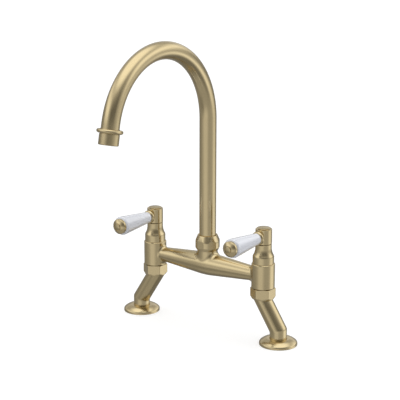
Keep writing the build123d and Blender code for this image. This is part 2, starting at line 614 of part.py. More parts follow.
def index_cap():
    """Plain index cap: low crown, bevelled rim over a narrower neck, and a stub in the hub."""
    rim_foot = HUB_TOP + CAP_NECK_H
    rim_top = rim_foot + CAP_RIM_H
    face_edge, crown = (CAP_FLAT_R, rim_top + CAP_BEVEL_H), (0, rim_top + CAP_BEVEL_H + CAP_CROWN)
    crown_r = (CAP_FLAT_R ** 2 + CAP_CROWN ** 2) / (2 * CAP_CROWN)
    return turned(
        (0, HUB_TOP - CAP_STUB_H), (CAP_STUB_R, HUB_TOP - CAP_STUB_H), (CAP_STUB_R, HUB_TOP + SEAT_GAP),
        (CAP_NECK_R, HUB_TOP + SEAT_GAP), (CAP_NECK_R, rim_foot), (CAP_R, rim_foot), (CAP_R, rim_top),
        face_edge, arc(bowed((0, crown[1] - crown_r), crown_r, face_edge, crown), crown),
    )


def lever_stud():
    """Threaded stud from the hub, through the ceramic, into the end cap."""
    return along_lever(rod(STUD_R, HUB_R - STUD_INSIDE_HUB, STUD_END))


def lever_collar():
    """Beaded collar with a neck that is saddled onto the hub."""
    neck_r = COLLAR_R - COLLAR_ROUND
    neck_end = (neck_r, COLLAR_AT - COLLAR_ROUND)
    face = (neck_r + COLLAR_ROUND * math.cos(math.radians(COLLAR_ROUND_TURN)), COLLAR_END)
    body = along_lever(turned(
        (CERAMIC_HOLE_R, HUB_R / 2), (neck_r, HUB_R / 2), neck_end,
        arc((COLLAR_R, COLLAR_AT), face), (CERAMIC_HOLE_R, COLLAR_END),
    ))
    return body - rod(HUB_R + SEAT_GAP, HUB_FOOT, HUB_TOP)


def lever_ceramic():
    """Glazed ceramic lever: rounded root, straight cone, rounded shoulder at the tip."""
    root_face = (CERAMIC_ROOT_R - CERAMIC_ROOT_ROUND, CERAMIC_ROOT)
    root_side = (CERAMIC_ROOT_R, CERAMIC_ROOT + CERAMIC_ROOT_ROUND)
    root_centre = (root_face[0], root_side[1])
    shoulder = (CERAMIC_TIP_R, CERAMIC_END - CERAMIC_SHOULDER)
    return along_lever(turned(
        (CERAMIC_HOLE_R, CERAMIC_ROOT), root_face,
        arc(bowed(root_centre, CERAMIC_ROOT_ROUND, root_face, root_side), root_side),
        shoulder, rounding(shoulder, (CERAMIC_SEAT_R, CERAMIC_END)), (CERAMIC_HOLE_R, CERAMIC_END),
    ))


def lever_washers():
    """Two thin soft washers, one at each end of the ceramic."""
    root_r = CERAMIC_ROOT_R - CERAMIC_ROOT_ROUND
    root = ring(CERAMIC_HOLE_R, root_r, COLLAR_END + SEAT_GAP, CERAMIC_ROOT - SEAT_GAP)
    tip = ring(CERAMIC_HOLE_R, CERAMIC_SEAT_R, CERAMIC_END + SEAT_GAP, END_CAP_FACE - SEAT_GAP)
    return Compound([along_lever(root), along_lever(tip)])


def lever_end_cap():
    """Domed end cap with a ring groove round a small raised button, tapped for the stud."""
    rim_top = END_CAP_FACE + END_CAP_RIM_T
    tip = END_CAP_FACE + END_CAP_L
    dome_h = END_CAP_L - END_CAP_RIM_T
    dome_r = (END_CAP_R ** 2 + dome_h ** 2) / (2 * dome_h)
    centre = (0, tip - dome_r)
    groove_edge = (END_CAP_GROOVE_R, centre[1] + math.sqrt(dome_r ** 2 - END_CAP_GROOVE_R ** 2))
    button_edge = (END_CAP_BUTTON_R, centre[1] + math.sqrt(dome_r ** 2 - END_CAP_BUTTON_R ** 2))
    groove_floor = groove_edge[1] - END_CAP_GROOVE_DEPTH
    hole_end = STUD_END + SEAT_GAP
    return along_lever(turned(
        (STUD_HOLE_R, END_CAP_FACE), (END_CAP_R, END_CAP_FACE), (END_CAP_R, rim_top),
        arc(bowed(centre, dome_r, (END_CAP_R, rim_top), groove_edge), groove_edge),
        (END_CAP_GROOVE_R, groove_floor), (END_CAP_BUTTON_R, groove_floor), button_edge,
        arc(bowed(centre, dome_r, button_edge, (0, tip)), (0, tip)), (0, hole_end), (STUD_HOLE_R, hole_end),
    ))


# ---- spout ----
def spout_tube():
    """Swan neck: straight riser, long arc and short straight tail."""
    tail_end = OUTLET * Pos(0, 0, SPOUT_TAIL_L)
    bend_through = (
        0,
        SPOUT_ARC_R * (math.cos(math.radians(SPOUT_SWEEP / 2)) - 1),
        RISER_TOP + SPOUT_ARC_R * math.sin(math.radians(SPOUT_SWEEP / 2)),
    )
    path = [
        Line((0, 0, TUBE_FOOT), (0, 0, RISER_TOP)),
        ThreePointArc((0, 0, RISER_TOP), bend_through, SPOUT_ARC_END),
        Line(SPOUT_ARC_END, tail_end.position),
    ]
    section = Plane.XY.offset(TUBE_FOOT) * (Circle(SPOUT_R) - Circle(TUBE_BORE_R))
    return sweep(section, path=Wire(path))


def spout_spigot():
    """Turned spigot brazed in the tube's foot, with two O-ring grooves that seal in the boss."""
    foot = SPIGOT_FLANGE_FOOT - SPIGOT_L
    flange_top = SPIGOT_FLANGE_FOOT + SPIGOT_FLANGE_T
    body = turned(
        (SPIGOT_BORE_R, foot), (SPIGOT_R, foot), (SPIGOT_R, SPIGOT_FLANGE_FOOT),
        (SPIGOT_FLANGE_R, SPIGOT_FLANGE_FOOT), (SPIGOT_FLANGE_R, flange_top),
        (TUBE_BORE_R - RUN_GAP, flange_top), (TUBE_BORE_R - RUN_GAP, flange_top + SPIGOT_SOCKET_L),
        (SPIGOT_BORE_R, flange_top + SPIGOT_SOCKET_L),
    )
    half = ORING_WIRE_R + 2 * RUN_GAP
    for oring_z in oring_heights():
        body -= ring(SPIGOT_R - 2 * ORING_WIRE_R, SPIGOT_R + OVERRUN, oring_z - half, oring_z + half)
    return body


def oring_heights():
    """Heights of the spigot's two O-rings."""
    first = SPIGOT_FLANGE_FOOT - SPIGOT_L + ORING_LAND
    return [first, first + ORING_PITCH]


def spout_orings():
    """Two O-rings on the spigot."""
    centre_r = SPIGOT_R + SEAT_GAP - ORING_WIRE_R
    return Compound([Pos(0, 0, oring_z) * Torus(centre_r, ORING_WIRE_R) for oring_z in oring_heights()])


def spout_slip_ring():
    """Slippery ring between the spigot's flange and the spout nut."""
    return ring(SPOUT_NUT_HOLE_R, BOSS_THREAD_R, SLIP_RING_FOOT, SLIP_RING_FOOT + SLIP_RING_T)


def spout_nut():
    """Nut round the spout's foot: turned with a long cone on top, and six shallow flats milled on."""
    wall_foot = SPOUT_NUT_FOOT + SPOUT_NUT_TAPER_H
    wall_top = wall_foot + SPOUT_NUT_WALL_H
    top = wall_top + SPOUT_NUT_CONE_H
    edge_r = SPOUT_NUT_HOLE_R + SPOUT_NUT_RIM
    thread = BOSS_THREAD_R + THREAD_GAP
    blank = turned(
        (thread, SPOUT_NUT_FOOT), (SPOUT_NUT_R - SPOUT_NUT_TAPER_IN, SPOUT_NUT_FOOT),
        (SPOUT_NUT_R, wall_foot), (SPOUT_NUT_R, wall_top), (edge_r, top),
        (edge_r - SPOUT_NUT_LIP, top), (SPOUT_NUT_HOLE_R, top - SPOUT_NUT_SINK),
        (SPOUT_NUT_HOLE_R, SPOUT_NUT_SHOULDER), (thread, SPOUT_NUT_SHOULDER),
    )
    return blank & hexagon_bar(
        SPOUT_NUT_AF, SPOUT_NUT_FOOT - OVERRUN, top + OVERRUN, SPOUT_NUT_TURN)


# ---- outlet ----
def outlet_bead():
    """Beaded end piece brazed round the tube's end, with a thread for the aerator housing."""
    bead_mid = BEAD_R - BEAD_T / 2
    bead_top, bead_foot = BEAD_AT - BEAD_T / 2, BEAD_AT + BEAD_T / 2
    neck_top = BEAD_AT - OUTLET_NECK_L / 2
    tube_gap = SPOUT_R + THREAD_GAP
    return OUTLET * turned(
        (tube_gap, neck_top), (OUTLET_NECK_R, neck_top), (OUTLET_NECK_R, bead_top), (bead_mid, bead_top),
        arc((BEAD_R, BEAD_AT), (bead_mid, bead_foot)), (OUTLET_NECK_R, bead_foot),
        (OUTLET_NECK_R, HOUSING_AT), (OUTLET_THREAD_R, HOUSING_AT), (OUTLET_THREAD_R, OUTLET_THREAD_END),
        (OUTLET_BORE_R, OUTLET_THREAD_END), (OUTLET_BORE_R, SPOUT_TAIL_L + SEAT_GAP),
        (tube_gap, SPOUT_TAIL_L + SEAT_GAP),
    )


def aerator_housing():
    """Round housing screwed on the outlet, with a lip that carries the insert."""
    top = HOUSING_AT + SEAT_GAP
    lip_top = HOUSING_END - HOUSING_LIP_T
    return OUTLET * turned(
        (HOUSING_BORE_R, top), (HOUSING_R, top), (HOUSING_R, HOUSING_END - HOUSING_EDGE),
        (HOUSING_R - HOUSING_EDGE, HOUSING_END), (HOUSING_LIP_R, HOUSING_END), (HOUSING_LIP_R, lip_top),
        (HOUSING_BORE_R, lip_top),
    )


def aerator_insert():
    """Aerator: a thick disc with rings of small holes."""
    pitch = HOUSING_LIP_R / (AERATOR_RINGS + 0.5)
    holes = [rod(AERATOR_HOLE_R, AERATOR_TOP - OVERRUN, AERATOR_FOOT + OVERRUN)]
    for ring_number in range(1, AERATOR_RINGS + 1):
        count = 6 * ring_number
        for step in range(count):
            holes.append(Rot(0, 0, 360 * step / count) * Pos(ring_number * pitch, 0, 0) * holes[0])
    return OUTLET * (rod(OUTLET_THREAD_R, AERATOR_TOP, AERATOR_FOOT) - holes)


def aerator_washer():
    """Flat washer between the outlet's end and the aerator."""
    foot = OUTLET_THREAD_END + SEAT_GAP
    return OUTLET * ring(OUTLET_BORE_R, OUTLET_THREAD_R, foot, foot + AERATOR_WASHER_T)


# ---- every piece, in its place ----
BY_SIDE = {"leg": leg, "flange": flange, "flange_gasket": flange_gasket}
ON_PILLAR = {
    "leg_nut": leg_nut, "leg_washer": leg_washer, "seat_seal": seat_seal, "fixed_disc": fixed_disc,
    "moving_disc": moving_disc, "spindle": spindle, "valve_housing": valve_housing,
    "spindle_oring": spindle_oring, "thrust_washer": thrust_washer, "circlip": circlip, "bonnet": bonnet,
    "handle_hub": handle_hub, "handle_screw": handle_screw, "index_cap": index_cap,
    "lever_stud": lever_stud, "lever_collar": lever_collar, "lever_ceramic": lever_ceramic,
    "lever_washers": lever_washers, "lever_end_cap": lever_end_cap,
}
CENTRAL = {
    "bridge_body": bridge_body, "spout_tube": spout_tube, "spout_spigot": spout_spigot,
    "spout_orings": spout_orings, "spout_slip_ring": spout_slip_ring, "spout_nut": spout_nut,
    "outlet_bead": outlet_bead, "aerator_housing": aerator_housing, "aerator_insert": aerator_insert,
    "aerator_washer": aerator_washer,
}

nodes = {name: make() for name, make in CENTRAL.items()}
for name, make in ON_PILLAR.items():
    piece = make()
    for side_name, side in SIDES.items():
        nodes[f"{side_name}_{name}"] = Pos(side * PILLAR_CENTRES / 2, 0, 0) * piece
for name, make in BY_SIDE.items():
    for side_name, side in SIDES.items():
        nodes[f"{side_name}_{name}"] = make(side)

os.makedirs("parts", exist_ok=True)
for name, piece in nodes.items():
    export_step(piece, f"parts/{name}.step")
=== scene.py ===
"""Looks of a deck-mounted bridge kitchen faucet: satin brass with white glazed levers.

Metres, +Z up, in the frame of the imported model. The deck is z = 0, the bridge lies along X with
hot on -X and cold on +X, and the spout and both levers point to the front, -Y. Each sub-assembly
is a class that reads its place and outer size from the frame, holds its own details as fields, and
makes its pieces as surfaces: outlines turned about an axis, or carried along a path.
"""

from __future__ import annotations

import json
import logging
import math
from dataclasses import dataclass, field
from enum import Enum
from typing import Any, Callable, Protocol

import bpy
import numpy as np
from mathutils import Matrix, Vector

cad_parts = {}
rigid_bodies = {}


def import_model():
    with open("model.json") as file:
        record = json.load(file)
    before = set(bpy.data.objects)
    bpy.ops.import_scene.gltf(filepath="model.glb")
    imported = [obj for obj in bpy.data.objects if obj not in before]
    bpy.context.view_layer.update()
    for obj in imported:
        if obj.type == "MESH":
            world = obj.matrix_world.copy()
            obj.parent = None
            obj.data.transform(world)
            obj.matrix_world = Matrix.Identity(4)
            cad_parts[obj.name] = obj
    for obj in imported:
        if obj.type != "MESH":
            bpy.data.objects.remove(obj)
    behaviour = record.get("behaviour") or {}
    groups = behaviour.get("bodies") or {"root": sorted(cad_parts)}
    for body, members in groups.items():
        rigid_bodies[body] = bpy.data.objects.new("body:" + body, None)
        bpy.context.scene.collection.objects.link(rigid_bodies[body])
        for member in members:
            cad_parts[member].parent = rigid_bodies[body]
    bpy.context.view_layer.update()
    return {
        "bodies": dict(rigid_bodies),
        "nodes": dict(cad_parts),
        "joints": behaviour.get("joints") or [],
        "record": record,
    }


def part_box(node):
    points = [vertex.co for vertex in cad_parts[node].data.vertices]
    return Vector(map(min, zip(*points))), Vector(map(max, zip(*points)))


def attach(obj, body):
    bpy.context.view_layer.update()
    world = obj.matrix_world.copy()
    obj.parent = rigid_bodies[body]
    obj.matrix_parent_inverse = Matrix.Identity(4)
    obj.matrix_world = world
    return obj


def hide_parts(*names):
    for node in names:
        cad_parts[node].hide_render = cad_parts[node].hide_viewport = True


LOG = logging.getLogger("faucet")
Array = np.ndarray

GRAIN = "grain"                 # point attribute: a place on the unrolled surface, in metres
TURN = 2 * math.pi
HAIR, FINE, SOFT = 0.0001, 0.0002, 0.0003       # how far the common roundings reach


# ---- shader expressions

class Value:
    """A shader socket that adds Math nodes when a Python expression uses it."""

    def __init__(self, graph: Graph, socket: bpy.types.NodeSocket) -> None:
        self.graph = graph
        self.socket = socket

    def _math(self, operation: str, *values: Value | float) -> Value:
        """One Math node on these values, in their order."""
        return self.graph.add("ShaderNodeMath", {"operation": operation}, dict(enumerate(values)))

    def __add__(self, other: Value | float) -> Value:
        """Sum."""
        return self._math("ADD", self, other)

    def __sub__(self, other: Value | float) -> Value:
        """Difference."""
        return self._math("SUBTRACT", self, other)

    def __rsub__(self, other: float) -> Value:
        """A number less this value."""
        return self._math("SUBTRACT", other, self)

    def __mul__(self, other: Value | float) -> Value:
        """Product."""
        return self._math("MULTIPLY", self, other)

    __radd__ = __add__
    __rmul__ = __mul__

    def size(self) -> Value:
        """Absolute value."""
        return self._math("ABSOLUTE", self)

    def least(self, other: Value | float) -> Value:
        """The lesser of two values."""
        return self._math("MINIMUM", self, other)

    def step_down(self, edge: float, blur: float) -> Value:
        """One below an edge and nought above it, with a smooth fall of a given width."""
        kind = {"interpolation_type": "SMOOTHSTEP"}
        ends = {1: edge - blur / 2, 2: edge + blur / 2, 3: 1.0, 4: 0.0}
        return self.graph.add("ShaderNodeMapRange", kind, {0: self, **ends})


class Graph:
    """The nodes of one material or world."""

    def __init__(self, tree: bpy.types.NodeTree) -> None:
        self.tree = tree
        tree.nodes.clear()

    def add(
        self,
        kind: str,
        settings: dict[str, Any] | None = None,
        inputs: dict[int | str, Any] | None = None,
        output: int | str = 0,
    ) -> Value:
        """Add a node.

        Args:
            kind: The node's type name.
            settings: Properties that are set before its sockets are filled.
            inputs: Values or links of its sockets, by name or place.
            output: The socket that is handed back, by name or place.

        Returns:
            The chosen output, ready for expressions.
        """
        node = self.tree.nodes.new(kind)
        for name, setting in (settings or {}).items():
            setattr(node, name, setting)
        for name, given in (inputs or {}).items():
            if isinstance(given, Value):
                self.tree.links.new(given.socket, node.inputs[name])
            else:
                node.inputs[name].default_value = given
        return Value(self, node.outputs[output]) if node.outputs else Value(self, node.inputs[0])

    def blend(self, share: Value | float, first: Any, second: Any) -> Value:
        """Mix two colours: a share of nought gives the first, one gives the second."""
        return self.add("ShaderNodeMix", {"data_type": "RGBA"}, {0: share, 6: first, 7: second}, 2)

    def stretched(self, place: Value, scale: tuple[float, float, float]) -> Value:
        """Multiply a place by a scale of its own for each axis."""
        return self.add("ShaderNodeVectorMath", {"operation": "MULTIPLY"}, {0: place, 1: scale})

    def noise(self, place: Value, per_metre: tuple[float, float, float], detail: float = 2.0) -> Value:
        """Soft noise about one half, with so many waves to the metre along each axis."""
        vector = self.stretched(place, per_metre)
        return self.add("ShaderNodeTexNoise", None, {"Vector": vector, "Scale": 1.0, "Detail": detail})

    def relief(self, height: Value, depth: float) -> Value:
        """Normal of a surface whose height runs from nought to a depth in metres."""
        return self.add("ShaderNodeBump", None, {"Strength": 1.0, "Distance": depth, "Height": height})

    def principled(self, **sockets: Any) -> Value:
        """Principled shader; a socket's name has underscores for its spaces."""
        named = {name.replace("_", " "): given for name, given in sockets.items()}
        return self.add("ShaderNodeBsdfPrincipled", None, named)

    def ray(self, kind: str) -> Value:
        """One for rays of a kind, such as Camera, and nought for the others."""
        return self.add("ShaderNodeLightPath", output=f"Is {kind} Ray")


# ---- finishes

class Lay(Enum):
    """Which way the fine scratches of a brushed piece run."""

    ROUND = (60.0, 60.0, 1700.0)        # round the axis, as a lathe leaves them
    ALONG = (1700.0, 1700.0, 60.0)      # along the piece, as a belt leaves them


class Finish(Protocol):
    """Anything that can dress a piece."""

    slot: str

    def material(self) -> bpy.types.Material:
        """The finish's material, made once."""


def dressed(name: str, draw: Callable[[Graph], Value]) -> bpy.types.Material:
    """Find a material by name, or make it and let a function draw its shader.

    Args:
        name: The material's name.
        draw: Called with the graph; returns the shader's output.

    Returns:
        The material.
    """
    known = bpy.data.materials.get(name)
    if known:
        return known
    material = bpy.data.materials.new(name)
    material.use_nodes = True
    graph = Graph(material.node_tree)
    graph.add("ShaderNodeOutputMaterial", None, {"Surface": draw(graph)})
    return material


def linked(name: str, data: bpy.types.ID) -> bpy.types.Object:
    """Put a mesh or a camera into the scene as an object."""
    made = bpy.data.objects.new(name, data)
    bpy.context.scene.collection.objects.link(made)
    return made


@dataclass(frozen=True)
class SatinBrass:
    """Fine brushed brass plate: warm base, faint cloudiness, scratches that follow the lay."""

    lay: Lay | None = None  # None where the piece has no grain attribute
    slot: str = "satin_brass"
    light: tuple[float, float, float, float] = (0.605, 0.496, 0.290, 1.0)
    dark: tuple[float, float, float, float] = (0.572, 0.467, 0.270, 1.0)
    roughness: float = 0.21
    scratch_depth: float = 0.0000012

    def material(self) -> bpy.types.Material:
        """Brass whose tone, roughness and relief come from clouds, specks and stretched noise."""
        return dressed(f"{self.slot}_{self.lay.name.lower() if self.lay else 'plain'}", self._draw)

    def _draw(self, graph: Graph) -> Value:
        """Fill the shader: clouds 12 mm wide, specks under 2 mm, scratches along the lay."""
        if self.lay:
            place = graph.add("ShaderNodeAttribute", {"attribute_name": GRAIN}, output="Vector")
        else:
            place = graph.add("ShaderNodeTexCoord", output="Object")
        clouds = graph.noise(place, (80.0, 80.0, 80.0), 3.0)
        specks = graph.noise(place, (620.0, 620.0, 620.0))
        scratches = graph.noise(place, self.lay.value if self.lay else (900.0, 900.0, 900.0))
        tone = (clouds * 0.6 + specks * 0.2 + scratches * 0.2).step_down(0.5, 0.5)
        rough = self.roughness + (clouds - 0.5) * 0.06 + (specks - 0.5) * 0.05 + (scratches - 0.5) * 0.06
        relief = graph.relief(scratches + specks * 0.6, self.scratch_depth)
        colour = graph.blend(tone, self.light, self.dark)
        return graph.principled(Base_Color=colour, Metallic=1.0, Roughness=rough, Normal=relief)


@dataclass(frozen=True)
class GlazedCeramic:
    """White vitreous glaze, slightly uneven, over a pale body."""

    slot: str = "glazed_ceramic"
    white: tuple[float, float, float, float] = (0.865, 0.885, 0.950, 1.0)
    milky: tuple[float, float, float, float] = (0.830, 0.850, 0.915, 1.0)
    roughness: float = 0.16
    coat: float = 0.80
    peel_depth: float = 0.00002

    def material(self) -> bpy.types.Material:
        """Glaze whose tone and gloss drift by a few percent, with a faint orange-peel relief."""
        return dressed(f"{self.slot}_glazed", self._draw)

    def _draw(self, graph: Graph) -> Value:
        """Fill the shader: pools of glaze 20 mm wide and a relief 3 mm wide."""
        place = graph.add("ShaderNodeTexCoord", output="Object")
        pools = graph.noise(place, (50.0, 50.0, 50.0), 1.0)
        peel = graph.noise(place, (320.0, 320.0, 320.0), 1.0)
        return graph.principled(
            Base_Color=graph.blend(pools, self.white, self.milky),
            Roughness=self.roughness + (pools - 0.5) * 0.08,
            Coat_Weight=self.coat,
            Coat_Roughness=0.08,
            Normal=graph.relief(peel, self.peel_depth),
        )


@dataclass(frozen=True)
class PlainStuff:
    """An unseen piece's finish: one stuff with a drift of tone, gloss and fine relief."""

    slot: str
    light: tuple[float, float, float]
    dark: tuple[float, float, float]
    roughness: float
    metallic: float = 0.0
    waves: tuple[float, float, float] = (500.0, 500.0, 500.0)
    depth: float = 0.00002

    def material(self) -> bpy.types.Material:
        """The stuff's material, from noise in the object's own coordinates."""
        return dressed(f"{self.slot}_worn", self._draw)

    def _draw(self, graph: Graph) -> Value:
        """Fill the shader: the same noise drives tone, gloss and relief."""
        place = graph.add("ShaderNodeTexCoord", output="Object")
        grain = graph.noise(place, self.waves)
        return graph.principled(
            Base_Color=graph.blend(grain, (*self.light, 1.0), (*self.dark, 1.0)),
            Metallic=self.metallic,
            Roughness=self.roughness + (grain - 0.5) * 0.15,
            Normal=graph.relief(grain, self.depth),
        )


INNER_FINISHES: dict[str, Finish] = {
    finish.slot: finish
    for finish in (
        SatinBrass(),
        GlazedCeramic(),
        PlainStuff("raw_brass", (0.76, 0.58, 0.28), (0.62, 0.44, 0.17), 0.32, 1.0, (90.0, 90.0, 2500.0)),
        PlainStuff("steel", (0.66, 0.66, 0.65), (0.50, 0.50, 0.50), 0.30, 1.0, (90.0, 90.0, 2500.0)),
        PlainStuff("rubber", (0.035, 0.035, 0.036), (0.020, 0.020, 0.021), 0.70),
        PlainStuff("fibre", (0.48, 0.14, 0.08), (0.34, 0.08, 0.05), 0.75, 0.0, (300.0, 300.0, 2200.0), 5e-5),
        PlainStuff("slip_plastic", (0.86, 0.86, 0.83), (0.80, 0.80, 0.77), 0.45),
        PlainStuff("disc_ceramic", (0.90, 0.89, 0.86), (0.84, 0.83, 0.79), 0.18, 0.0, (260.0,) * 3, 1e-5),
    )
}


# ---- outlines and skins

@dataclass(frozen=True)
class Placing:
    """Where a piece that is worked out about its own +Z axis stands."""

    origin: Array
    across: Array = field(default_factory=lambda: np.array([1.0, 0.0, 0.0]))
    along: Array = field(default_factory=lambda: np.array([0.0, 0.0, 1.0]))

    def put(self, local: Array) -> Array:
        """Origin, plus each local coordinate times its axis; the second axis is along x across."""
        return self.origin + local @ np.stack([self.across, np.cross(self.along, self.across), self.along])


class Outline:
    """An outline drawn corner by corner in (radius, height), each corner with its own rounding."""

    def __init__(self) -> None:
        self.corners: list[tuple[float, float]] = []
        self.reaches: list[float] = []

    def to(self, radius: float, height: float, reach: float = 0.0) -> Outline:
        """Run straight to a corner, which is rounded over a reach on both its sides."""
        self.corners.append((radius, height))
        self.reaches.append(reach)
        return self

    def bend(
        self, centre: tuple[float, float], radius: float, height: float, reach: float = 0.0, steps: int = 12
    ) -> Outline:
        """Run round a centre to a corner, the short way, at centre + size * (cos, sin).

        Args:
            centre: The arc's centre as (radius, height).
            radius: The corner's radius.
            height: The corner's height.
            reach: The corner's rounding.
            steps: Runs that the arc is divided into.

        Returns:
            The outline itself.
        """
        start = self.corners[-1]
        size = math.dist(centre, start)
        begin = math.atan2(start[1] - centre[1], start[0] - centre[0])
        end = math.atan2(height - centre[1], radius - centre[0])
        sweep = math.remainder(end - begin, TURN)
        for share in np.linspace(0.0, 1.0, steps + 1)[1:-1]:
            angle = begin + sweep * share
            self.to(centre[0] + size * math.cos(angle), centre[1] + size * math.sin(angle))
        return self.to(radius, height, reach)

    def rounding(self, radius: float, height: float, reach: float = 0.0, steps: int = 8) -> Outline:
        """Leave the last corner straight up or down and bend to a corner, on one arc."""
        start = self.corners[-1]
        across, rise = start[0] - radius, height - start[1]
        size = (across ** 2 + rise ** 2) / (2 * across)
        return self.bend((start[0] - size, start[1]), radius, height, reach, steps)

    def skin(self, placing: Placing, columns: int = 144, flats: Flats | None = None) -> Skin:
        """Turn the outline about an axis; it closes on itself unless it starts on the axis."""
        ring = self.corners[0][0] > 0.0
        rows = softened(np.array(self.corners)[:, None, :], self.reaches, ring)
        return turned(rows, placing, ring, columns, flats)

    def saddled(self, ring: bool, count: int, columns: int, drum: float) -> Array:
        """Outlines of a stub whose first corners lie on a drum that crosses its axis.

        At an angle a, a corner of radius r meets the drum at sqrt(drum^2 - (r cos a)^2).

        Args:
            ring: Whether the outline closes on itself.
            count: How many of the first corners lie on the drum.
            columns: Points round the stub's axis.
            drum: The drum's radius.

        Returns:
            Points, (rows, columns, 2).
        """
        angle = circle_of(columns)[0]
        corners = np.repeat(np.array(self.corners)[:, None, :], columns, axis=1)
        beside = corners[:count, :, 0] * np.cos(angle)
        corners[:count, :, 1] = np.sqrt(drum ** 2 - beside ** 2)
        return softened(corners, self.reaches, ring)


def softened(corners: Array, reaches: list[float], ring: bool, steps: int = 4) -> Array:
    """Round the corners of one or many outlines at once.

    A corner c gives way to the parabola (1-t)^2 a + 2t(1-t) c + t^2 b, where a and b lie a reach
    before and after it, but no more than 0.42 of the run. One more point beyond each end keeps
    the flats beside it flat in shading.

    Args:
        corners: Points, (corners, columns, dimensions).
        reaches: Each corner's reach; nought leaves it sharp.
        ring: Whether the last corner runs on to the first.
        steps: Runs that each parabola is divided into.

    Returns:
        Points, (rows, columns, dimensions).
    """
    count = len(corners)
    along = np.linspace(0.0, 1.0, steps + 1)[:, None, None]
    rows: list[Array] = []
    for number, reach in enumerate(reaches):
        corner = corners[number]
        if reach == 0.0 or (not ring and number in (0, count - 1)):
            rows.append(corner[None])
            continue
        sides = []
        for other in (corners[number - 1], corners[(number + 1) % count]):
            run = other - corner
            length = np.linalg.norm(run, axis=-1, keepdims=True)
            near = np.minimum(reach, 0.42 * length)
            far = np.minimum(1.7 * reach, 0.48 * length)
            unit = run / np.maximum(length, 1e-12)
            sides.append((corner + unit * near, corner + unit * far))
        (before, before_far), (after, after_far) = sides
        curve = (1 - along) ** 2 * before + 2 * along * (1 - along) * corner + along ** 2 * after
        rows += [before_far[None], curve, after_far[None]]
    return np.concatenate(rows)


def turning(first: Array, last: Array, steps: int) -> Array:
    """Directions that turn evenly from one to another: sin((1-t) w) a + sin(t w) b, over sin w.

    Args:
        first: Unit directions, (columns, 3).
        last: Unit directions, (columns, 3).
        steps: Runs that the turn is divided into.

    Returns:
        Unit directions, (steps + 1, columns, 3).
    """
    share = np.linspace(0.0, 1.0, steps + 1)[:, None, None]
    whole = np.arccos(np.clip((first * last).sum(-1), -1.0, 1.0))[None, :, None]
    return (np.sin((1 - share) * whole) * first + np.sin(share * whole) * last) / np.sin(whole)


def lesser(first: Array, second: Array, blur: float) -> Array:
    """The lesser of two distances, blended over a blur where they are about equal."""
    share = np.clip(0.5 + 0.5 * (second - first) / blur, 0.0, 1.0)
    return second + (first - second) * share - blur * share * (1 - share)


@dataclass(frozen=True)
class Flats:
    """Flats milled round a turned blank."""

    across: float                # from flat to flat
    turn: float = 0.0  # radians, from local +X to a corner
    count: int = 6
    blur: float = 0.0004  # how far an edge between faces is eased

    def cut(self, radius: Array, angle: Array) -> Array:
        """Radius after milling: the lesser of the blank's and the flats' at each angle.

        A flat at a distance d from the axis is met at d / cos(a), with a measured from its middle.
        """
        pitch = TURN / self.count
        off = np.mod(angle - self.turn, pitch) - pitch / 2
        own = self.across / 2 / np.cos(off)
        neighbour = self.across / 2 / np.cos(pitch - np.abs(off))
        return lesser(radius, lesser(own, neighbour, self.blur), self.blur)


@dataclass
class Skin:
    """A grid of points that becomes one closed shell.

    Columns run round and close on themselves. Rows close on themselves in a ring, and otherwise
    the first and the last row are single points.
    """

    points: Array                # (rows, columns, 3)
    grain: Array                 # (rows, columns, 3)
    ring: bool

    def faces(self) -> tuple[Array, Array]:
        """Corner numbers of the grid's quads and, at single points, of its triangles."""
        rows, columns = self.points.shape[:2]
        number = np.arange(rows * columns).reshape(rows, columns)
        if self.ring:
            number = np.vstack([number, number[:1]])
        else:
            number[0] = number[0, 0]
            number[-1] = number[-1, 0]
        near, far = number[:-1], number[1:]
        near_next, far_next = np.roll(near, -1, 1), np.roll(far, -1, 1)
        quads = np.stack([near, near_next, far_next, far], -1)
        if self.ring:
            return quads.reshape(-1, 4), np.zeros((0, 3), int)
        first = np.stack([near[0], far_next[0], far[0]], -1)
        last = np.stack([near[-1], near_next[-1], far[-1]], -1)
        return quads[1:-1].reshape(-1, 4), np.vstack([first, last])


def turned(profile: Array, placing: Placing, ring: bool = False,
           columns: int = 144, flats: Flats | None = None) -> Skin:
    """Turn an outline about its axis: x = r cos a, y = r sin a, z = height.

    The grain is (k cos a, k sin a, s), where s is the length along the outline and k its mean
    radius, so that a pattern lies on the surface as on an unrolled sleeve.

    Args:
        profile: Radius and height of each row, (rows, one or columns, 2).
        placing: Where the axis stands.
        ring: Whether the outline closes on itself, off the axis.
        columns: Points round the axis.
        flats: Flats that cut the turned radius.

    Returns:
        The skin.
    """
    angle = circle_of(columns)[0][None, :] + (flats.turn if flats else 0.0)
    radius, height = profile[..., 0] + 0 * angle, profile[..., 1] + 0 * angle
    if flats:
        radius = flats.cut(radius, angle)
    points = placing.put(np.stack([radius * np.cos(angle), radius * np.sin(angle), height], -1))
    return Skin(points, sleeve(points, angle, float(radius.mean())), ring)


def circle_of(columns: int) -> tuple[Array, Array]:
    """Evenly spaced angles a, and the points (cos a, sin a, 0) at them."""
    angle = np.linspace(0.0, TURN, columns, endpoint=False)
    return angle, np.stack([np.cos(angle), np.sin(angle), np.zeros_like(angle)], -1)


def sleeve(points: Array, angle: Array, radius: float) -> Array:
    """Grain of a skin: its angle on a circle of one radius, and the mean length along its rows."""
    steps = np.linalg.norm(np.diff(points, axis=0), axis=-1).mean(1)
    length = np.concatenate([[0.0], np.cumsum(steps)])[:, None] * np.ones_like(angle)
    round_x = radius * np.cos(angle) * np.ones_like(length)
    round_y = radius * np.sin(angle) * np.ones_like(length)
    return np.stack([round_x, round_y, length], -1)


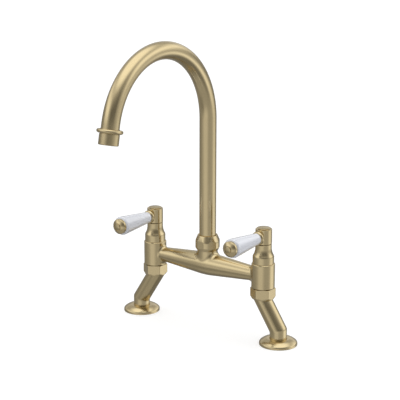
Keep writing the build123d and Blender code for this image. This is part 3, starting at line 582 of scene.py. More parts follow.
def mesh_of(name: str, skins: tuple[Skin, ...], crease: float = math.radians(38)) -> bpy.types.Mesh:
    """Join skins into one mesh with outward faces, smooth shading and a grain attribute.

    Args:
        name: The mesh's name.
        skins: Closed shells; each is turned outwards by the sign of its volume.
        crease: Edges sharper than this angle stay sharp.

    Returns:
        The mesh.
    """
    vertices, grains, quad_list, triangle_list, start = [], [], [], [], 0
    for skin in skins:
        points = skin.points.reshape(-1, 3)
        quads, triangles = skin.faces()
        halves = np.vstack([quads[:, [0, 1, 2]], quads[:, [0, 2, 3]], triangles])
        a, b, c = (points[halves[:, k]] for k in range(3))
        if np.einsum("ij,ij->i", a, np.cross(b, c)).sum() < 0:
            quads, triangles = quads[:, ::-1], triangles[:, ::-1]
        used, places = np.unique(np.concatenate([quads.ravel(), triangles.ravel()]), return_inverse=True)
        quad_list.append(places[:quads.size].reshape(-1, 4) + start)
        triangle_list.append(places[quads.size:].reshape(-1, 3) + start)
        vertices.append(points[used])
        grains.append(skin.grain.reshape(-1, 3)[used])
        start += len(used)
    quads, triangles = np.vstack(quad_list), np.vstack(triangle_list)
    mesh = bpy.data.meshes.new(name)
    mesh.vertices.add(start)
    mesh.vertices.foreach_set("co", np.vstack(vertices).astype(np.float32).ravel())
    mesh.loops.add(quads.size + triangles.size)
    loops = np.concatenate([quads.ravel(), triangles.ravel()])
    mesh.loops.foreach_set("vertex_index", loops.astype(np.int32))
    mesh.polygons.add(len(quads) + len(triangles))
    starts = np.concatenate([4 * np.arange(len(quads)), quads.size + 3 * np.arange(len(triangles))])
    mesh.polygons.foreach_set("loop_start", starts.astype(np.int32))
    mesh.update(calc_edges=True)
    mesh.validate()
    mesh.shade_smooth()
    mesh.set_sharp_from_angle(angle=crease)
    grain = mesh.attributes.new(GRAIN, "FLOAT_VECTOR", "POINT")
    grain.data.foreach_set("vector", np.vstack(grains).astype(np.float32).ravel())
    return mesh


# ---- the frame

class Side(Enum):
    """Which pillar a piece belongs to; the value is the sign of its X."""

    HOT = -1
    COLD = 1

    @property
    def prefix(self) -> str:
        """What the names of this side's CAD nodes start with."""
        return f"{self.name.lower()}_"

    def node(self, piece: str) -> str:
        """Name of this side's CAD node."""
        return self.prefix + piece


@dataclass(frozen=True)
class Envelope:
    """The box of a CAD node, which its stand-in fills."""

    low: Array
    high: Array

    @classmethod
    def of(cls, node: str) -> Envelope:
        """Box of a node at rest."""
        low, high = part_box(node)
        return cls(np.array(low), np.array(high))

    @property
    def middle(self) -> Array:
        """Centre of the box."""
        return (self.low + self.high) / 2

    @property
    def axis(self) -> Placing:
        """Upright axis through the box's centre, with heights measured from the deck."""
        return Placing(np.array([self.middle[0], self.middle[1], 0.0]))

    @property
    def radius(self) -> float:
        """Half the box's width along X."""
        return float(self.high[0] - self.low[0]) / 2

    @property
    def foot(self) -> float:
        """Lowest height."""
        return float(self.low[2])

    @property
    def top(self) -> float:
        """Highest height."""
        return float(self.high[2])


class Workshop:
    """Puts surfaces into the frame as objects and keeps count of them."""

    def __init__(self, frame: dict[str, Any]) -> None:
        self.nodes: dict[str, bpy.types.Object] = frame["nodes"]
        groups: dict[str, list[str]] = frame["record"]["behaviour"]["bodies"]
        self.bodies = {node: body for body, members in groups.items() for node in members}
        self.replaced: set[str] = set()

    def make(self, prefix: str, *rows: tuple[str, Finish, Skin]) -> None:
        """Make a row's piece: a node's name after the prefix, its finish and its skin."""
        for piece, finish, skin in rows:
            self.stand_in(prefix + piece, finish, skin)

    def stand_in(self, node: str, finish: Finish, *skins: Skin) -> None:
        """Make one object from skins, dress it, and let it stand for a CAD node on its body."""
        name = f"{node}.skin"
        piece = linked(name, mesh_of(name, skins))
        piece.data.materials.append(finish.material())
        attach(piece, self.bodies[node])
        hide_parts(node)
        self.replaced.add(node)
        LOG.info("%s: %d faces on %s", name, len(piece.data.polygons), self.bodies[node])

    def dress_the_rest(self) -> None:
        """Give every CAD node that keeps its shape the finish of its own slot."""
        for name, node in self.nodes.items():
            if name not in self.replaced:
                slot = node.data.materials[0].name.split(".")[0]
                node.data.materials[0] = INNER_FINISHES[slot].material()
                LOG.info("%s keeps its shape, in %s", name, slot)


@dataclass(frozen=True)
class Sided:
    """A sub-assembly that stands on one side."""

    side: Side

    def box(self, piece: str) -> Envelope:
        """Box of one of this side's CAD nodes."""
        return Envelope.of(self.side.node(piece))


# ---- legs

@dataclass(frozen=True)
class Leg(Sided):
    """Cranked leg, its union nut and its deck flange, on one side."""

    tube_radius: float = 0.0113
    waterway_radius: float = 0.0070
    elbow_height: float = 0.0190  # where the upright and slanted centre lines meet
    casting_height: float = 0.05825  # where the slanted casting is cut off level
    knee_drop: float = 0.00075
    inlet_radius: float = 0.0093
    inlet_depth: float = 0.0140
    spigot_radius: float = 0.0102
    collar_radius: float = 0.0128
    collar_thickness: float = 0.0024
    elbow_ease: float = 0.0016
    rim_height: float = 0.0020
    shoulder_in: float = 0.0010
    shoulder_height: float = 0.0022
    crown_radius: float = 0.0135  # where the flange's dome becomes level
    flange_slip: float = 0.00015
    gasket_recess: float = 0.0016
    gasket_edge: float = 0.0017
    nut_taper: float = 0.0028  # height of the turned taper under the hexagon
    nut_turn: float = math.radians(30.0)
    nut_foot_radius: float = 0.0146
    nut_lip: float = 0.0026
    nut_hole_radius: float = 0.01055
    nut_thread_radius: float = 0.01325
    nut_chamfer: float = 0.0005
    columns: int = 144

    def build(self, shop: Workshop) -> None:
        """Make the leg, the flange and the union nut."""
        shop.make(
            self.side.prefix,
            ("leg", SatinBrass(Lay.ALONG), self.casting()),
            ("flange", SatinBrass(Lay.ROUND), self.flange()),
            ("leg_nut", SatinBrass(Lay.ALONG), self.nut()),
        )

    def casting(self) -> Skin:
        """Carry a circle up a cranked path, out to the spigot and collar, and back down the bore.

        Each column is a broken line. It runs straight along an upright or slanted line, and it
        changes direction on the plane that bisects them: at a distance (x, y) from the centre
        line that plane lies higher by -x * slope_x / (1 + slope_z).
        """
        flange, nut = self.box("flange"), self.box("leg_nut")
        collar_top = self.box("leg").top
        foot_x, pillar_x = flange.middle[0], nut.middle[0]
        elbow = np.array([foot_x, 0.0, self.elbow_height])
        knee = np.array([pillar_x, 0.0, self.casting_height - self.knee_drop])
        slope = (knee - elbow) / np.linalg.norm(knee - elbow)
        angle, circle = circle_of(self.columns)

        def level(radius: float, x: float, height: float) -> Array:
            """A level circle."""
            return circle * radius + np.array([x, 0.0, height])

        def mitred(radius: float, centre: Array) -> Array:
            """A circle raised on to the bisecting plane through a centre."""
            ring = circle * radius + centre
            ring[:, 2] -= circle[:, 0] * radius * slope[0] / (1 + slope[2])
            return ring

        outer = mitred(self.tube_radius, elbow)
        rise = (self.casting_height - outer[:, 2:]) / slope[2]
        rings = [
            (level(self.tube_radius, foot_x, 0.0), FINE),
            (outer, self.elbow_ease),
            (outer + rise * slope, 0.0004),
            (level(self.spigot_radius, pillar_x, self.casting_height), 0.0),
            (level(self.spigot_radius, pillar_x, collar_top - self.collar_thickness), 0.0),
            (level(self.collar_radius, pillar_x, collar_top - self.collar_thickness), FINE),
            (level(self.collar_radius, pillar_x, collar_top), FINE),
            (level(self.waterway_radius, pillar_x, collar_top), FINE),
            (mitred(self.waterway_radius, knee), 0.0),
            (mitred(self.waterway_radius, elbow), 0.0),
            (level(self.waterway_radius, foot_x, self.inlet_depth), 0.0),
            (level(self.inlet_radius, foot_x, self.inlet_depth), 0.0),
            (level(self.inlet_radius, foot_x, 0.0), SOFT),
        ]
        points = softened(np.stack([ring for ring, _ in rings]), [reach for _, reach in rings], True)
        return Skin(points, sleeve(points, angle[None, :], self.tube_radius), True)

    def flange(self) -> Skin:
        """Turn the domed flange: rim, rounding, flat dome, hole, and a recess underneath."""
        box = self.box("flange")
        shoulder = (box.radius - self.shoulder_in, self.rim_height + self.shoulder_height)
        run, rise = shoulder[0] - self.crown_radius, box.top - shoulder[1]
        dome = (run ** 2 + rise ** 2) / (2 * rise)
        recess = box.radius - self.gasket_edge
        hole = self.tube_radius + self.flange_slip
        return (
            Outline().to(recess, 0.0, FINE).to(box.radius, 0.0, SOFT).to(box.radius, self.rim_height)
            .rounding(*shoulder)
            .bend((self.crown_radius, box.top - dome), self.crown_radius, box.top, steps=16)
            .to(hole, box.top, SOFT).to(hole, self.gasket_recess, FINE).to(recess, self.gasket_recess, FINE)
            .skin(box.axis, columns=192)
        )

    def nut(self) -> Skin:
        """Turn a tapered blank and mill it to a hexagon; inside are the lip and the thread."""
        box = self.box("leg_nut")
        across = 2 * box.radius
        corner = across / math.sqrt(3)
        lip_top = box.foot + self.nut_lip
        outline = (
            Outline().to(self.nut_hole_radius, box.foot, FINE).to(self.nut_foot_radius, box.foot, SOFT)
            .to(corner, box.foot + self.nut_taper, SOFT).to(corner, box.top - self.nut_chamfer, FINE)
            .to(corner - 2 * self.nut_chamfer, box.top, FINE).to(self.nut_thread_radius, box.top, FINE)
            .to(self.nut_thread_radius, lip_top).to(self.nut_hole_radius, lip_top)
        )
        milled = Flats(across, self.nut_turn)
        return outline.skin(box.axis, columns=288, flats=milled)


# ---- bridge

@dataclass(frozen=True)
class Bridge:
    """The casting: two pillars, the bowed and tapered tube between them, and the spout's boss.

    The tube meets each pillar, and the boss meets the tube, in the groove that a ball of one
    radius leaves when it rolls along both.
    """

    rise: float = 0.0161  # the tube's axis over the pillars' feet
    middle_radius: float = 0.01533
    crown: float = 0.130  # radius of the long curve at the tube's middle
    taper: float = math.radians(4.67)
    waterway_radius: float = 0.0055
    ball: float = 0.0050  # groove at the pillars
    boss_radius: float = 0.0136
    boss_ball: float = 0.0050  # groove at the boss, on the sides
    boss_ball_front: float = 0.0140  # and on the front and back, where boss and tube nearly align
    boss_rise: float = 0.0198
    boss_thread_radius: float = 0.0130
    boss_throat: float = 0.0075
    boss_bore: float = 0.0097
    boss_bore_depth: float = 0.0240
    pillar_ease: float = 0.0008
    spigot_radius: float = 0.0132
    spigot_length: float = 0.0074
    water_radius: float = 0.0080
    seat_rise: float = 0.0133
    chamber_radius: float = 0.0109
    chamber_height: float = 0.0150
    thread_radius: float = 0.0118
    columns: int = 176
    side_rows: int = 48                 # points along the tube, from its middle to a flare
    flare_steps: int = 12
    boss_flare_steps: int = 10

    def build(self, shop: Workshop) -> None:
        """Make the casting from its four shells."""
        box = Envelope.of("bridge_body")
        pillars = [Envelope.of(side.node("bonnet")) for side in Side]
        centre = pillars[-1].middle[0]
        radius = float(box.high[0]) - centre
        foot, top = box.foot + self.spigot_length, pillars[0].foot
        axis = foot + self.rise
        shells = [self.pillar(pillar.axis, radius, foot, top) for pillar in pillars]
        shells += [self.tube(centre, radius, axis), self.boss(axis, box.top)]
        shop.stand_in("bridge_body", SatinBrass(Lay.ALONG), *shells)

    def tube_radius(self, along: Array) -> Array:
        """Radius of the tube: a long arc about its middle, then a straight taper to each side."""
        curve = self.crown * math.sin(self.taper)
        distance = np.abs(along)
        arc = self.middle_radius - self.crown + np.sqrt(self.crown ** 2 - np.minimum(distance, curve) ** 2)
        return arc - math.tan(self.taper) * np.maximum(distance - curve, 0.0)

    def pillar(self, axis: Placing, radius: float, foot: float, top: float) -> Skin:
        """Turn a pillar: threaded spigot, eased barrel, cartridge thread, chamber, waterway."""
        bottom = foot - self.spigot_length
        seat = bottom + self.seat_rise
        chamber_top = seat + self.chamber_height
        ease = self.pillar_ease
        return (
            Outline().to(self.water_radius, bottom, FINE).to(self.spigot_radius, bottom, FINE)
            .to(self.spigot_radius, foot).to(radius - ease, foot, FINE).to(radius, foot + ease, 0.0004)
            .to(radius, top - ease, 0.0004).to(radius - ease, top, FINE).to(self.thread_radius, top, FINE)
            .to(self.thread_radius, chamber_top).to(self.chamber_radius, chamber_top)
            .to(self.chamber_radius, seat).to(self.water_radius, seat)
            .skin(axis, columns=self.columns)
        )

    def tube(self, centre: float, radius: float, axis: float) -> Skin:
        """Carry a circle along X, flare it into both pillars, and come back down the bore.

        For each angle about X, the ball's middle lies at pillar radius + ball from the pillar's
        axis and at tube radius + ball from the tube's. It touches the tube along one direction and
        the pillar along another, and the flare turns evenly from the first to the second.
        """
        angle, circle = circle_of(self.columns)
        outwards = circle[:, [2, 1, 0]]
        reach = radius + self.ball
        ball_x = np.full_like(angle, centre - reach)
        for _ in range(6):
            lift = self.tube_radius(ball_x) + self.ball / math.cos(self.taper)
            ball_x = centre - np.sqrt(reach ** 2 - (lift * np.sin(angle)) ** 2)
        middle = lift[:, None] * outwards
        middle[:, 0] = ball_x
        normal = outwards * math.cos(self.taper)
        normal[:, 0] = math.sin(self.taper)
        towards = np.stack([centre - ball_x, -middle[:, 1], np.zeros_like(angle)], -1) / reach
        flare = middle + self.ball * turning(-normal, towards, self.flare_steps)
        share = np.linspace(0.0, 1.0, self.side_rows)[:, None]
        along = share * flare[0, :, 0]
        side = self.tube_radius(along)[..., None] * outwards
        side[..., 0] = along
        inside = flare[-1:] + towards * self.ball / 4
        bore = self.waterway_radius * outwards
        bore[:, 0] = centre - (radius + self.chamber_radius) / 2
        half = np.concatenate([side, flare[1:], inside, bore[None]])
        mirrored = half[:0:-1] * np.array([-1.0, 1.0, 1.0])
        points = np.concatenate([mirrored, half]) + np.array([0.0, 0.0, axis])
        return Skin(points, sleeve(points, angle[None, :], self.middle_radius), True)

    def boss(self, axis: float, top: float) -> Skin:
        """Turn the boss and flare its foot on to the tube, by the same rolling ball.

        For each angle about Z, the ball's middle lies at boss radius + ball from the boss's axis
        and at tube radius + ball from the tube's. The ball grows from the sides to the front by
        the sine of the angle, squared.
        """
        angle, circle = circle_of(self.columns)
        ball = self.boss_ball + (self.boss_ball_front - self.boss_ball) * np.sin(angle) ** 2
        middle = (self.boss_radius + ball[:, None]) * circle
        lift = self.tube_radius(middle[:, 0]) + ball
        middle[:, 2] = np.sqrt(lift ** 2 - middle[:, 1] ** 2)
        normal = middle / lift[:, None]
        normal[:, 0] = np.sin(self.taper) * np.clip(middle[:, 0] / (self.crown * math.sin(self.taper)), -1, 1)
        normal /= np.linalg.norm(normal, axis=1, keepdims=True)
        flare = middle + ball[:, None] * turning(-circle, -normal, self.boss_flare_steps)

        def level(radius: float, height: float) -> Array:
            """A level circle, at a height over the tube's axis."""
            return (circle * radius + np.array([0.0, 0.0, height]))[None]

        shoulder, end = self.boss_rise, top - axis
        corners = np.concatenate([
            level(self.boss_throat, 0.0), level(self.boss_throat, end - self.boss_bore_depth),
            level(self.boss_bore, end - self.boss_bore_depth), level(self.boss_bore, end),
            level(self.boss_thread_radius, end), level(self.boss_thread_radius, shoulder),
            level(self.boss_radius, shoulder), flare, flare[-1:] - normal * self.boss_ball / 4,
        ])
        points = corners + np.array([0.0, 0.0, axis])
        return Skin(points, sleeve(points, angle[None, :], self.boss_radius), True)


# ---- valves

@dataclass(frozen=True)
class Bonnet(Sided):
    """Flared cover over one valve."""

    ring_height: float = 0.0086
    brow_in: float = 0.0006
    brow_height: float = 0.0023
    flare: float = 0.0207
    neck_radius: float = 0.0108
    neck_rise: float = 0.0211
    edge: float = 0.0003
    top_thickness: float = 0.0020
    thread_radius: float = 0.0118
    thread_height: float = 0.0069
    hollow_radius: float = 0.0090
    spindle_hole: float = 0.0051

    def build(self, shop: Workshop) -> None:
        """Make the bonnet."""
        shop.make(self.side.prefix, ("bonnet", SatinBrass(Lay.ROUND), self.cover()))

    def cover(self) -> Skin:
        """Turn the cover: plain ring, rounded brow, hollow flare, neck, and a hollow inside."""
        box = self.box("bonnet")
        ring_top, neck_foot = box.foot + self.ring_height, box.foot + self.neck_rise
        thread_top, under_top = box.foot + self.thread_height, box.top - self.top_thickness
        return (
            Outline().to(self.thread_radius, box.foot, FINE).to(box.radius, box.foot, SOFT)
            .to(box.radius, ring_top).rounding(box.radius - self.brow_in, ring_top + self.brow_height, SOFT)
            .bend((self.neck_radius + self.flare, neck_foot), self.neck_radius, neck_foot, steps=14)
            .to(self.neck_radius, box.top - self.edge, HAIR).to(self.neck_radius - self.edge, box.top, HAIR)
            .to(self.spindle_hole, box.top, FINE).to(self.spindle_hole, under_top)
            .to(self.hollow_radius, under_top).to(self.hollow_radius, thread_top + self.hollow_radius)
            .to(self.thread_radius, thread_top)
            .skin(box.axis, columns=160)
        )


# ---- handles

@dataclass(frozen=True)
class Handle(Sided):
    """Hub, index cap and ceramic lever. Lengths along the lever are from its hub's axis."""

    hub_edge: float = 0.00035
    lip_radius: float = 0.0098  # inside it the hub's top sinks, round the cap's neck
    sink: float = 0.0007
    pocket_radius: float = 0.00552
    pocket_depth: float = 0.0061
    web: float = 0.0030
    screw_hole: float = 0.0022
    spline_radius: float = 0.0045
    cap_neck_radius: float = 0.0064  # under the cap's wider rim
    cap_neck: float = 0.0012  # height of the dark gap round that neck
    cap_rim: float = 0.00015
    cap_face_radius: float = 0.0079
    cap_crown: float = 0.00075
    cap_stub_radius: float = 0.0055
    stud_hole: float = 0.0033
    bead: float = 0.0028  # radius of the collar's rounded bead
    bead_at: float = 0.0139
    root_round: float = 0.0013
    root_radius: float = 0.0077
    shoulder: float = 0.0026  # length of the ceramic's rounded end
    seat_radius: float = 0.0102
    rim: float = 0.0032
    groove_radius: float = 0.0050
    groove_depth: float = 0.0007
    button_radius: float = 0.0041
    tapped: float = 0.0039
    tapped_radius: float = 0.0030

    def build(self, shop: Workshop) -> None:
        """Make the hub, the cap, the collar, the ceramic and the end cap."""
        hub, lever = self.box("handle_hub"), self.box("lever_ceramic")
        axis = Placing(np.array([hub.middle[0], 0.0, lever.middle[2]]), along=np.array([0.0, -1.0, 0.0]))
        shop.make(
            self.side.prefix,
            ("handle_hub", SatinBrass(Lay.ALONG), self.hub(hub)),
            ("index_cap", SatinBrass(Lay.ROUND), self.cap(hub)),
            ("lever_collar", SatinBrass(Lay.ROUND), self.collar(axis, hub.radius)),
            ("lever_ceramic", GlazedCeramic(), self.ceramic(axis, lever)),
            ("lever_end_cap", SatinBrass(Lay.ROUND), self.end_cap(axis)),
        )

    def hub(self, box: Envelope) -> Skin:
        """Turn the hub: eased ends, screw pocket under the cap, and spline socket."""
        screw_seat = box.top - self.pocket_depth
        socket_top = screw_seat - self.web
        return (
            Outline().to(self.spline_radius, box.foot, FINE).to(box.radius - self.hub_edge, box.foot, HAIR)
            .to(box.radius, box.foot + self.hub_edge, HAIR).to(box.radius, box.top - self.hub_edge, FINE)
            .to(box.radius - self.hub_edge, box.top, FINE).to(self.lip_radius, box.top, HAIR)
            .to(self.lip_radius - self.sink, box.top - self.sink)
            .to(self.cap_neck_radius, box.top - self.sink).to(self.cap_neck_radius, box.top)
            .to(self.pocket_radius, box.top).to(self.pocket_radius, screw_seat)
            .to(self.screw_hole, screw_seat).to(self.screw_hole, socket_top)
            .to(self.spline_radius, socket_top)
            .skin(box.axis)
        )

    def cap(self, hub: Envelope) -> Skin:
        """Turn the index cap: stub, rim, bevel and a bare face with a low crown."""
        box = self.box("index_cap")
        rim_foot = hub.top + self.cap_neck
        crown = (self.cap_face_radius ** 2 + self.cap_crown ** 2) / (2 * self.cap_crown)
        return (
            Outline().to(0.0, box.foot).to(self.cap_stub_radius, box.foot, FINE)
            .to(self.cap_stub_radius, hub.top).to(self.cap_neck_radius, hub.top)
            .to(self.cap_neck_radius, rim_foot, FINE).to(box.radius, rim_foot, HAIR)
            .to(box.radius, rim_foot + self.cap_rim, FINE)
            .to(self.cap_face_radius, box.top - self.cap_crown, SOFT)
            .bend((0.0, box.top - crown), 0.0, box.top, steps=8)
            .skin(hub.axis, columns=112)
        )

    def collar(self, axis: Placing, drum: float) -> Skin:
        """Turn the collar about the lever and saddle its neck on to the hub."""
        box = self.box("lever_collar")
        end = -float(box.low[1])
        bead_middle = box.radius - self.bead
        face = bead_middle + math.sqrt(self.bead ** 2 - (end - self.bead_at) ** 2)
        outline = (
            Outline().to(self.stud_hole, drum).to(bead_middle, drum).to(bead_middle, self.bead_at - self.bead)
            .bend((bead_middle, self.bead_at), box.radius, self.bead_at)
            .bend((bead_middle, self.bead_at), face, end, HAIR, 8)
            .to(self.stud_hole, end, HAIR)
        )
        return turned(outline.saddled(True, 2, 112, drum), axis, ring=True, columns=112)

    def ceramic(self, axis: Placing, box: Envelope) -> Skin:
        """Turn the ceramic: rounded root, straight cone, rounded shoulder, bore for the stud."""
        root, end = -float(box.high[1]), -float(box.low[1])
        side = root + self.root_round
        return (
            Outline().to(self.stud_hole, root, FINE).to(self.root_radius - self.root_round, root)
            .bend((self.root_radius - self.root_round, side), self.root_radius, side, steps=6)
            .to(self.root_radius + (box.radius - self.root_radius) / 2, (side + end - self.shoulder) / 2)
            .to(box.radius, end - self.shoulder, 0.0012).rounding(self.seat_radius, end, FINE)
            .to(self.stud_hole, end, FINE)
            .skin(axis, columns=128)
        )

    def end_cap(self, axis: Placing) -> Skin:
        """Turn the domed end cap: rim, dome, ring groove, raised button, tapped hole behind."""
        box = self.box("lever_end_cap")
        face, tip = -float(box.high[1]), -float(box.low[1])
        rim_top = face + self.rim
        height = tip - rim_top
        dome = (box.radius ** 2 + height ** 2) / (2 * height)
        centre = (0.0, tip - dome)
        groove = centre[1] + math.sqrt(dome ** 2 - self.groove_radius ** 2)
        groove_floor = groove - self.groove_depth
        button = centre[1] + math.sqrt(dome ** 2 - self.button_radius ** 2)
        return (
            Outline().to(0.0, face + self.tapped).to(self.tapped_radius, face + self.tapped)
            .to(self.tapped_radius, face, FINE).to(box.radius, face, FINE).to(box.radius, rim_top, SOFT)
            .bend(centre, self.groove_radius, groove, FINE, 9)
            .to(self.groove_radius, groove_floor).to(self.button_radius, groove_floor)
            .to(self.button_radius, button, FINE).bend(centre, 0.0, tip, steps=7)
            .skin(axis, columns=128)
        )


# ---- spout

@dataclass(frozen=True)
class Spout:
    """Swan-neck tube, its nut on the boss, and the beaded outlet with the aerator's housing."""

    bore_radius: float = 0.0098
    spare: float = 0.00004  # keeps the tube inside the box of its faceted solid
    riser: float = 0.1636
    arc_radius: float = 0.0988
    sweep: float = math.radians(168.5)
    tail: float = 0.0083
    nut_across: float = 0.0319
    nut_turn: float = math.radians(-0.5)
    nut_taper_in: float = 0.0024
    nut_taper: float = 0.00425
    nut_wall: float = 0.0084
    nut_rim: float = 0.0016  # from the tube's hole to the cone's crisp upper edge
    nut_sink: float = 0.0012  # depth of the hole's countersink
    nut_hole_radius: float = 0.01168
    nut_thread_radius: float = 0.01305
    nut_thread_depth: float = 0.01627
    bead_at: float = 0.0069
    bead_radius: float = 0.01618
    bead_thickness: float = 0.0050
    neck_radius: float = 0.0118
    neck_length: float = 0.0062
    sleeve_radius: float = 0.01138
    thread_radius: float = 0.0109
    thread_length: float = 0.0046
    water_radius: float = 0.0085
    housing_radius: float = 0.01245
    housing_length: float = 0.0135
    housing_edge: float = 0.0006
    lip_radius: float = 0.0094
    lip: float = 0.0015
    seat_gap: float = 0.00002
    columns: int = 144
    riser_rows: int = 30
    arc_rows: int = 170
    tail_rows: int = 4

    def build(self, shop: Workshop) -> None:
        """Make the tube, the nut, the bead and the housing."""
        box = Envelope.of("spout_tube")
        riser_top = box.foot + self.riser
        end = self.path(np.array([[self.sweep]]), riser_top)[0, 0]
        along = np.array([0.0, -math.sin(self.sweep), math.cos(self.sweep)])
        outlet = Placing(end, along=along)
        shop.make(
            "",
            ("spout_tube", SatinBrass(Lay.ALONG), self.tube(box, riser_top, along)),
            ("spout_nut", SatinBrass(Lay.ROUND), self.nut()),
            ("outlet_bead", SatinBrass(Lay.ROUND), self.bead(outlet)),
            ("aerator_housing", SatinBrass(Lay.ROUND), self.housing(outlet)),
        )

    def path(self, turn: Array, riser_top: float) -> Array:
        """Centre line of the arc: y = R (cos t - 1), z = riser top + R sin t."""
        flat = self.arc_radius * (np.cos(turn) - 1)
        return np.stack([0 * turn, flat, riser_top + self.arc_radius * np.sin(turn)], -1)

    def tube(self, box: Envelope, riser_top: float, along: Array) -> Skin:
        """Carry a circle up the riser, round the arc and down the tail, and back inside.

        A point is the centre plus r (cos a X + sin a N), where N = (0, cos t, sin t) is square to
        the path at a turn t.
        """
        angle = circle_of(self.columns)[0][None, :]
        straight = np.linspace(box.foot, riser_top, self.riser_rows)[:-1, None]
        riser = np.stack([0 * straight, 0 * straight, straight], -1)
        turn = np.linspace(0.0, self.sweep, self.arc_rows)[:, None]
        arc = self.path(turn, riser_top)
        tail = arc[-1:] + np.linspace(0.0, self.tail, self.tail_rows)[1:, None, None] * along
        centre = np.concatenate([riser, arc, tail])
        tilt = np.concatenate([np.zeros((len(riser), 1)), turn, np.full((len(tail), 1), self.sweep)])

        def wall(radius: float) -> Array:
            """The tube's surface at one radius."""
            aside = np.sin(angle)
            offset = np.stack([np.cos(angle) + 0 * tilt, aside * np.cos(tilt), aside * np.sin(tilt)], -1)
            return centre + radius * offset

        outer, inner = wall(box.radius - self.spare), wall(self.bore_radius)[::-1]
        reaches = [0.0] * (2 * len(outer))
        for end in (0, len(outer) - 1, len(outer), 2 * len(outer) - 1):
            reaches[end] = 0.0003
        points = softened(np.concatenate([outer, inner]), reaches, True)
        return Skin(points, sleeve(points, angle, box.radius), True)

    def nut(self) -> Skin:
        """Turn the spout's nut with its long cone and mill six shallow flats on it."""
        box = Envelope.of("spout_nut")
        wall_foot = box.foot + self.nut_taper
        wall_top = wall_foot + self.nut_wall
        thread_top = box.foot + self.nut_thread_depth
        edge = self.nut_hole_radius + self.nut_rim
        outline = (
            Outline().to(self.nut_thread_radius, box.foot, HAIR)
            .to(box.radius - self.nut_taper_in, box.foot, FINE).to(box.radius, wall_foot, 0.0006)
            .to(box.radius, wall_top, 0.0012).to(edge, box.top, FINE)
            .to(edge - self.nut_rim / 3, box.top, HAIR)
            .to(self.nut_hole_radius, box.top - self.nut_sink, HAIR)
            .to(self.nut_hole_radius, thread_top).to(self.nut_thread_radius, thread_top)
        )
        milled = Flats(self.nut_across, self.nut_turn, blur=0.0002)
        return outline.skin(box.axis, columns=288, flats=milled)

    def bead(self, outlet: Placing) -> Skin:
        """Turn the outlet's end piece: sleeve, rounded bead, neck and thread."""
        half = self.bead_thickness / 2
        round_foot = self.bead_radius - half
        neck_top, neck_end = self.bead_at - self.neck_length / 2, self.bead_at + self.neck_length / 2
        thread_end = neck_end + self.thread_length
        tube_end = self.tail + self.seat_gap
        return (
            Outline().to(self.sleeve_radius, neck_top, HAIR).to(self.neck_radius, neck_top, HAIR)
            .to(self.neck_radius, self.bead_at - half).to(round_foot, self.bead_at - half)
            .bend((round_foot, self.bead_at), round_foot, self.bead_at + half, steps=16)
            .to(self.neck_radius, self.bead_at + half)
            .to(self.neck_radius, neck_end).to(self.thread_radius, neck_end)
            .to(self.thread_radius, thread_end, FINE).to(self.water_radius, thread_end, FINE)
            .to(self.water_radius, tube_end).to(self.sleeve_radius, tube_end)
            .skin(outlet)
        )

    def housing(self, outlet: Placing) -> Skin:
        """Turn the housing: a plain sleeve with an eased mouth and a lip under the aerator."""
        top = self.bead_at + self.neck_length / 2 + self.seat_gap
        end = top + self.housing_length - self.seat_gap
        bore = self.sleeve_radius - self.bead_thickness / 12
        return (
            Outline().to(bore, top, HAIR).to(self.housing_radius, top, FINE)
            .to(self.housing_radius, end - self.housing_edge, SOFT)
            .to(self.housing_radius - self.housing_edge, end, FINE).to(self.lip_radius, end, SOFT)
            .to(self.lip_radius, end - self.lip, HAIR).to(bore, end - self.lip)
            .skin(outlet)
        )


# ---- the light, the floor and the camera

@dataclass(frozen=True)
class Softbox:
    """A soft patch of the studio, seen from the faucet. Degrees; turn is from the camera to its right."""

    turn: float
    height: float
    half_width: float
    half_height: float
    level: float
    blur: float = 16.0
    backdrop: bool = False  # part of the camera's white background


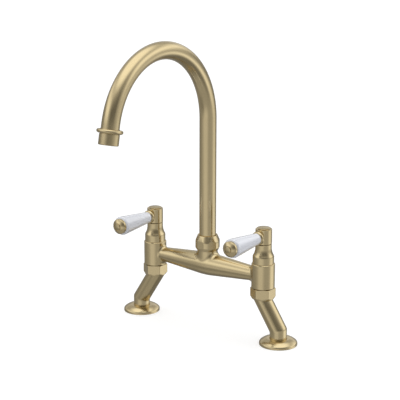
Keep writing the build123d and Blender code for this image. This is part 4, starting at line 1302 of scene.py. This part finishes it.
@dataclass(frozen=True)
class Studio:
    """Camera at the photograph's angle, a white floor, and a plain soft studio round it."""

    eye: tuple[float, float, float] = (0.93773826, -1.28489126, 0.57663618)
    azimuth: float = 36.496  # degrees, from the front towards +X
    elevation: float = 14.09
    roll: float = 0.095
    focal_length: float = 110.77  # millimetres, on a 36 mm sensor
    floor_half: float = 6.0
    floor_height: float = -0.0002
    floor_colour: float = 0.55  # as diffuse light sees it
    floor_glow: float = 0.56  # added for the camera, which then sees white
    room: float = 0.54  # level of the studio's bare walls
    ceiling: Softbox = Softbox(0.0, 90.0, 400.0, 36.5, 1.58, 28.0)
    ground: Softbox = Softbox(0.0, -90.0, 400.0, 61.5, 0.25, 20.0)
    softboxes: tuple[Softbox, ...] = (
        Softbox(11.5, 19.0, 36.0, 18.0, 0.20, 29.0),     # dark room behind the camera
        Softbox(-83.0, 26.0, 38.0, 14.0, 1.37, 28.0),    # left and right softboxes
        Softbox(107.0, 21.5, 37.0, 15.0, 1.50, 29.0),
        Softbox(189.0, 7.0, 54.0, 15.0, 1.00, 8.0, backdrop=True),
        Softbox(-139.0, -6.5, 45.0, 26.0, 0.36, 21.0),
        Softbox(-35.0, -32.0, 33.0, 21.5, 1.19, 34.0),   # table, lit from the left front
        Softbox(96.0, -21.5, 26.5, 7.5, 1.60, 33.0),     # and from the right
        Softbox(-35.0, -55.5, 76.0, 35.0, 0.47, 34.0),
        Softbox(178.0, -2.5, 65.0, 16.0, 0.31, 21.0),
        Softbox(-81.0, -30.0, 29.5, 11.5, 0.30, 25.0),
    )

    def build(self) -> None:
        """Make the camera, the floor and the world."""
        self.camera()
        self.floor()
        self.world()

    def camera(self) -> None:
        """Stand the camera at its eye: it looks along -Z of a frame turned by azimuth, elevation and roll."""
        lens = bpy.data.cameras.new("camera")
        lens.sensor_width = 36.0
        lens.lens = self.focal_length
        camera = linked("camera", lens)
        turn = Matrix.Rotation(math.radians(self.azimuth), 4, "Z")
        tilt = Matrix.Rotation(math.radians(90.0 - self.elevation), 4, "X")
        roll = Matrix.Rotation(math.radians(self.roll), 4, "Z")
        camera.matrix_world = Matrix.Translation(Vector(self.eye)) @ turn @ tilt @ roll
        bpy.context.scene.camera = camera

    def floor(self) -> None:
        """Lay a pale floor, white to the camera, that keeps a soft shadow and stays out of the metal."""
        half, height = self.floor_half, self.floor_height
        mesh = bpy.data.meshes.new("floor")
        corners = [(x * half, y * half, height) for x, y in ((-1, -1), (1, -1), (1, 1), (-1, 1))]
        mesh.from_pydata(corners, [], [(0, 1, 2, 3)])
        floor = linked("floor", mesh)
        floor.visible_glossy = False
        floor.visible_shadow = False
        mesh.materials.append(dressed("floor", self.paint))

    def paint(self, graph: Graph) -> Value:
        """Draw the floor's shader: matt, with a glow that only the camera and glass see."""
        matt = graph.add("ShaderNodeBsdfDiffuse", None, {"Color": (*[self.floor_colour] * 3, 1.0)})
        seen = (graph.ray("Camera") + graph.ray("Transmission")).least(1.0)
        glow = graph.add("ShaderNodeEmission", None, {"Strength": seen * self.floor_glow})
        return graph.add("ShaderNodeAddShader", None, {0: matt, 1: glow})

    def world(self) -> None:
        """Paint the studio on the world: white to the camera, soft patches to everything else.

        Each patch replaces the level under it by its own, by the product of two smooth steps:
        one of the angle round the faucet and one of the angle above the deck. Glossy rays see
        the camera's white background where the backdrop stands.
        """
        world = bpy.data.worlds.new("studio")
        world.use_nodes = True
        bpy.context.scene.world = world
        graph = Graph(world.node_tree)
        direction = graph.add("ShaderNodeTexCoord", output="Generated")
        x, y, z = (graph.add("ShaderNodeSeparateXYZ", None, {0: direction}, output) for output in range(3))
        height = graph.add("ShaderNodeMath", {"operation": "ARCSINE"}, {0: z}) * (180.0 / math.pi)

        def share_of(patch: Softbox) -> Value:
            """How far a direction lies inside a patch, from 0 to 1."""
            share = (height - patch.height).size().step_down(patch.half_height, patch.blur)
            if patch.half_width >= 180.0:
                return share
            middle = math.radians(self.azimuth - 90.0 + patch.turn)
            ahead = x * math.cos(middle) + y * math.sin(middle)
            aside = y * math.cos(middle) - x * math.sin(middle)
            angle = graph.add("ShaderNodeMath", {"operation": "ARCTAN2"}, {0: aside, 1: ahead})
            return share * (angle * (180.0 / math.pi)).size().step_down(patch.half_width, patch.blur)

        level: Value | float = self.room
        behind: Value | float = 0.0
        for patch in (self.ceiling, self.ground, *self.softboxes):
            share = share_of(patch)
            level = level * (1 - share) + share * patch.level
            behind = share if patch.backdrop else (1 - share) * behind
        seen = (graph.ray("Camera") + graph.ray("Transmission") + graph.ray("Glossy") * behind).least(1.0)
        strength = level * (1 - seen) + seen
        sockets = {"Color": (1.0, 1.0, 1.0, 1.0), "Strength": strength}
        background = graph.add("ShaderNodeBackground", None, sockets)
        graph.add("ShaderNodeOutputWorld", None, {"Surface": background})


def main() -> None:
    """Load the frame, make every sub-assembly, dress what stays, and set up the studio."""
    logging.basicConfig(level=logging.INFO, format="%(message)s")
    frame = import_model()
    bpy.context.scene.view_settings.view_transform = "Standard"
    shop = Workshop(frame)
    for side in Side:
        Leg(side).build(shop)
        Bonnet(side).build(shop)
        Handle(side).build(shop)
    Bridge().build(shop)
    Spout().build(shop)
    shop.dress_the_rest()
    Studio().build()


if __name__ == "__main__":
    main()
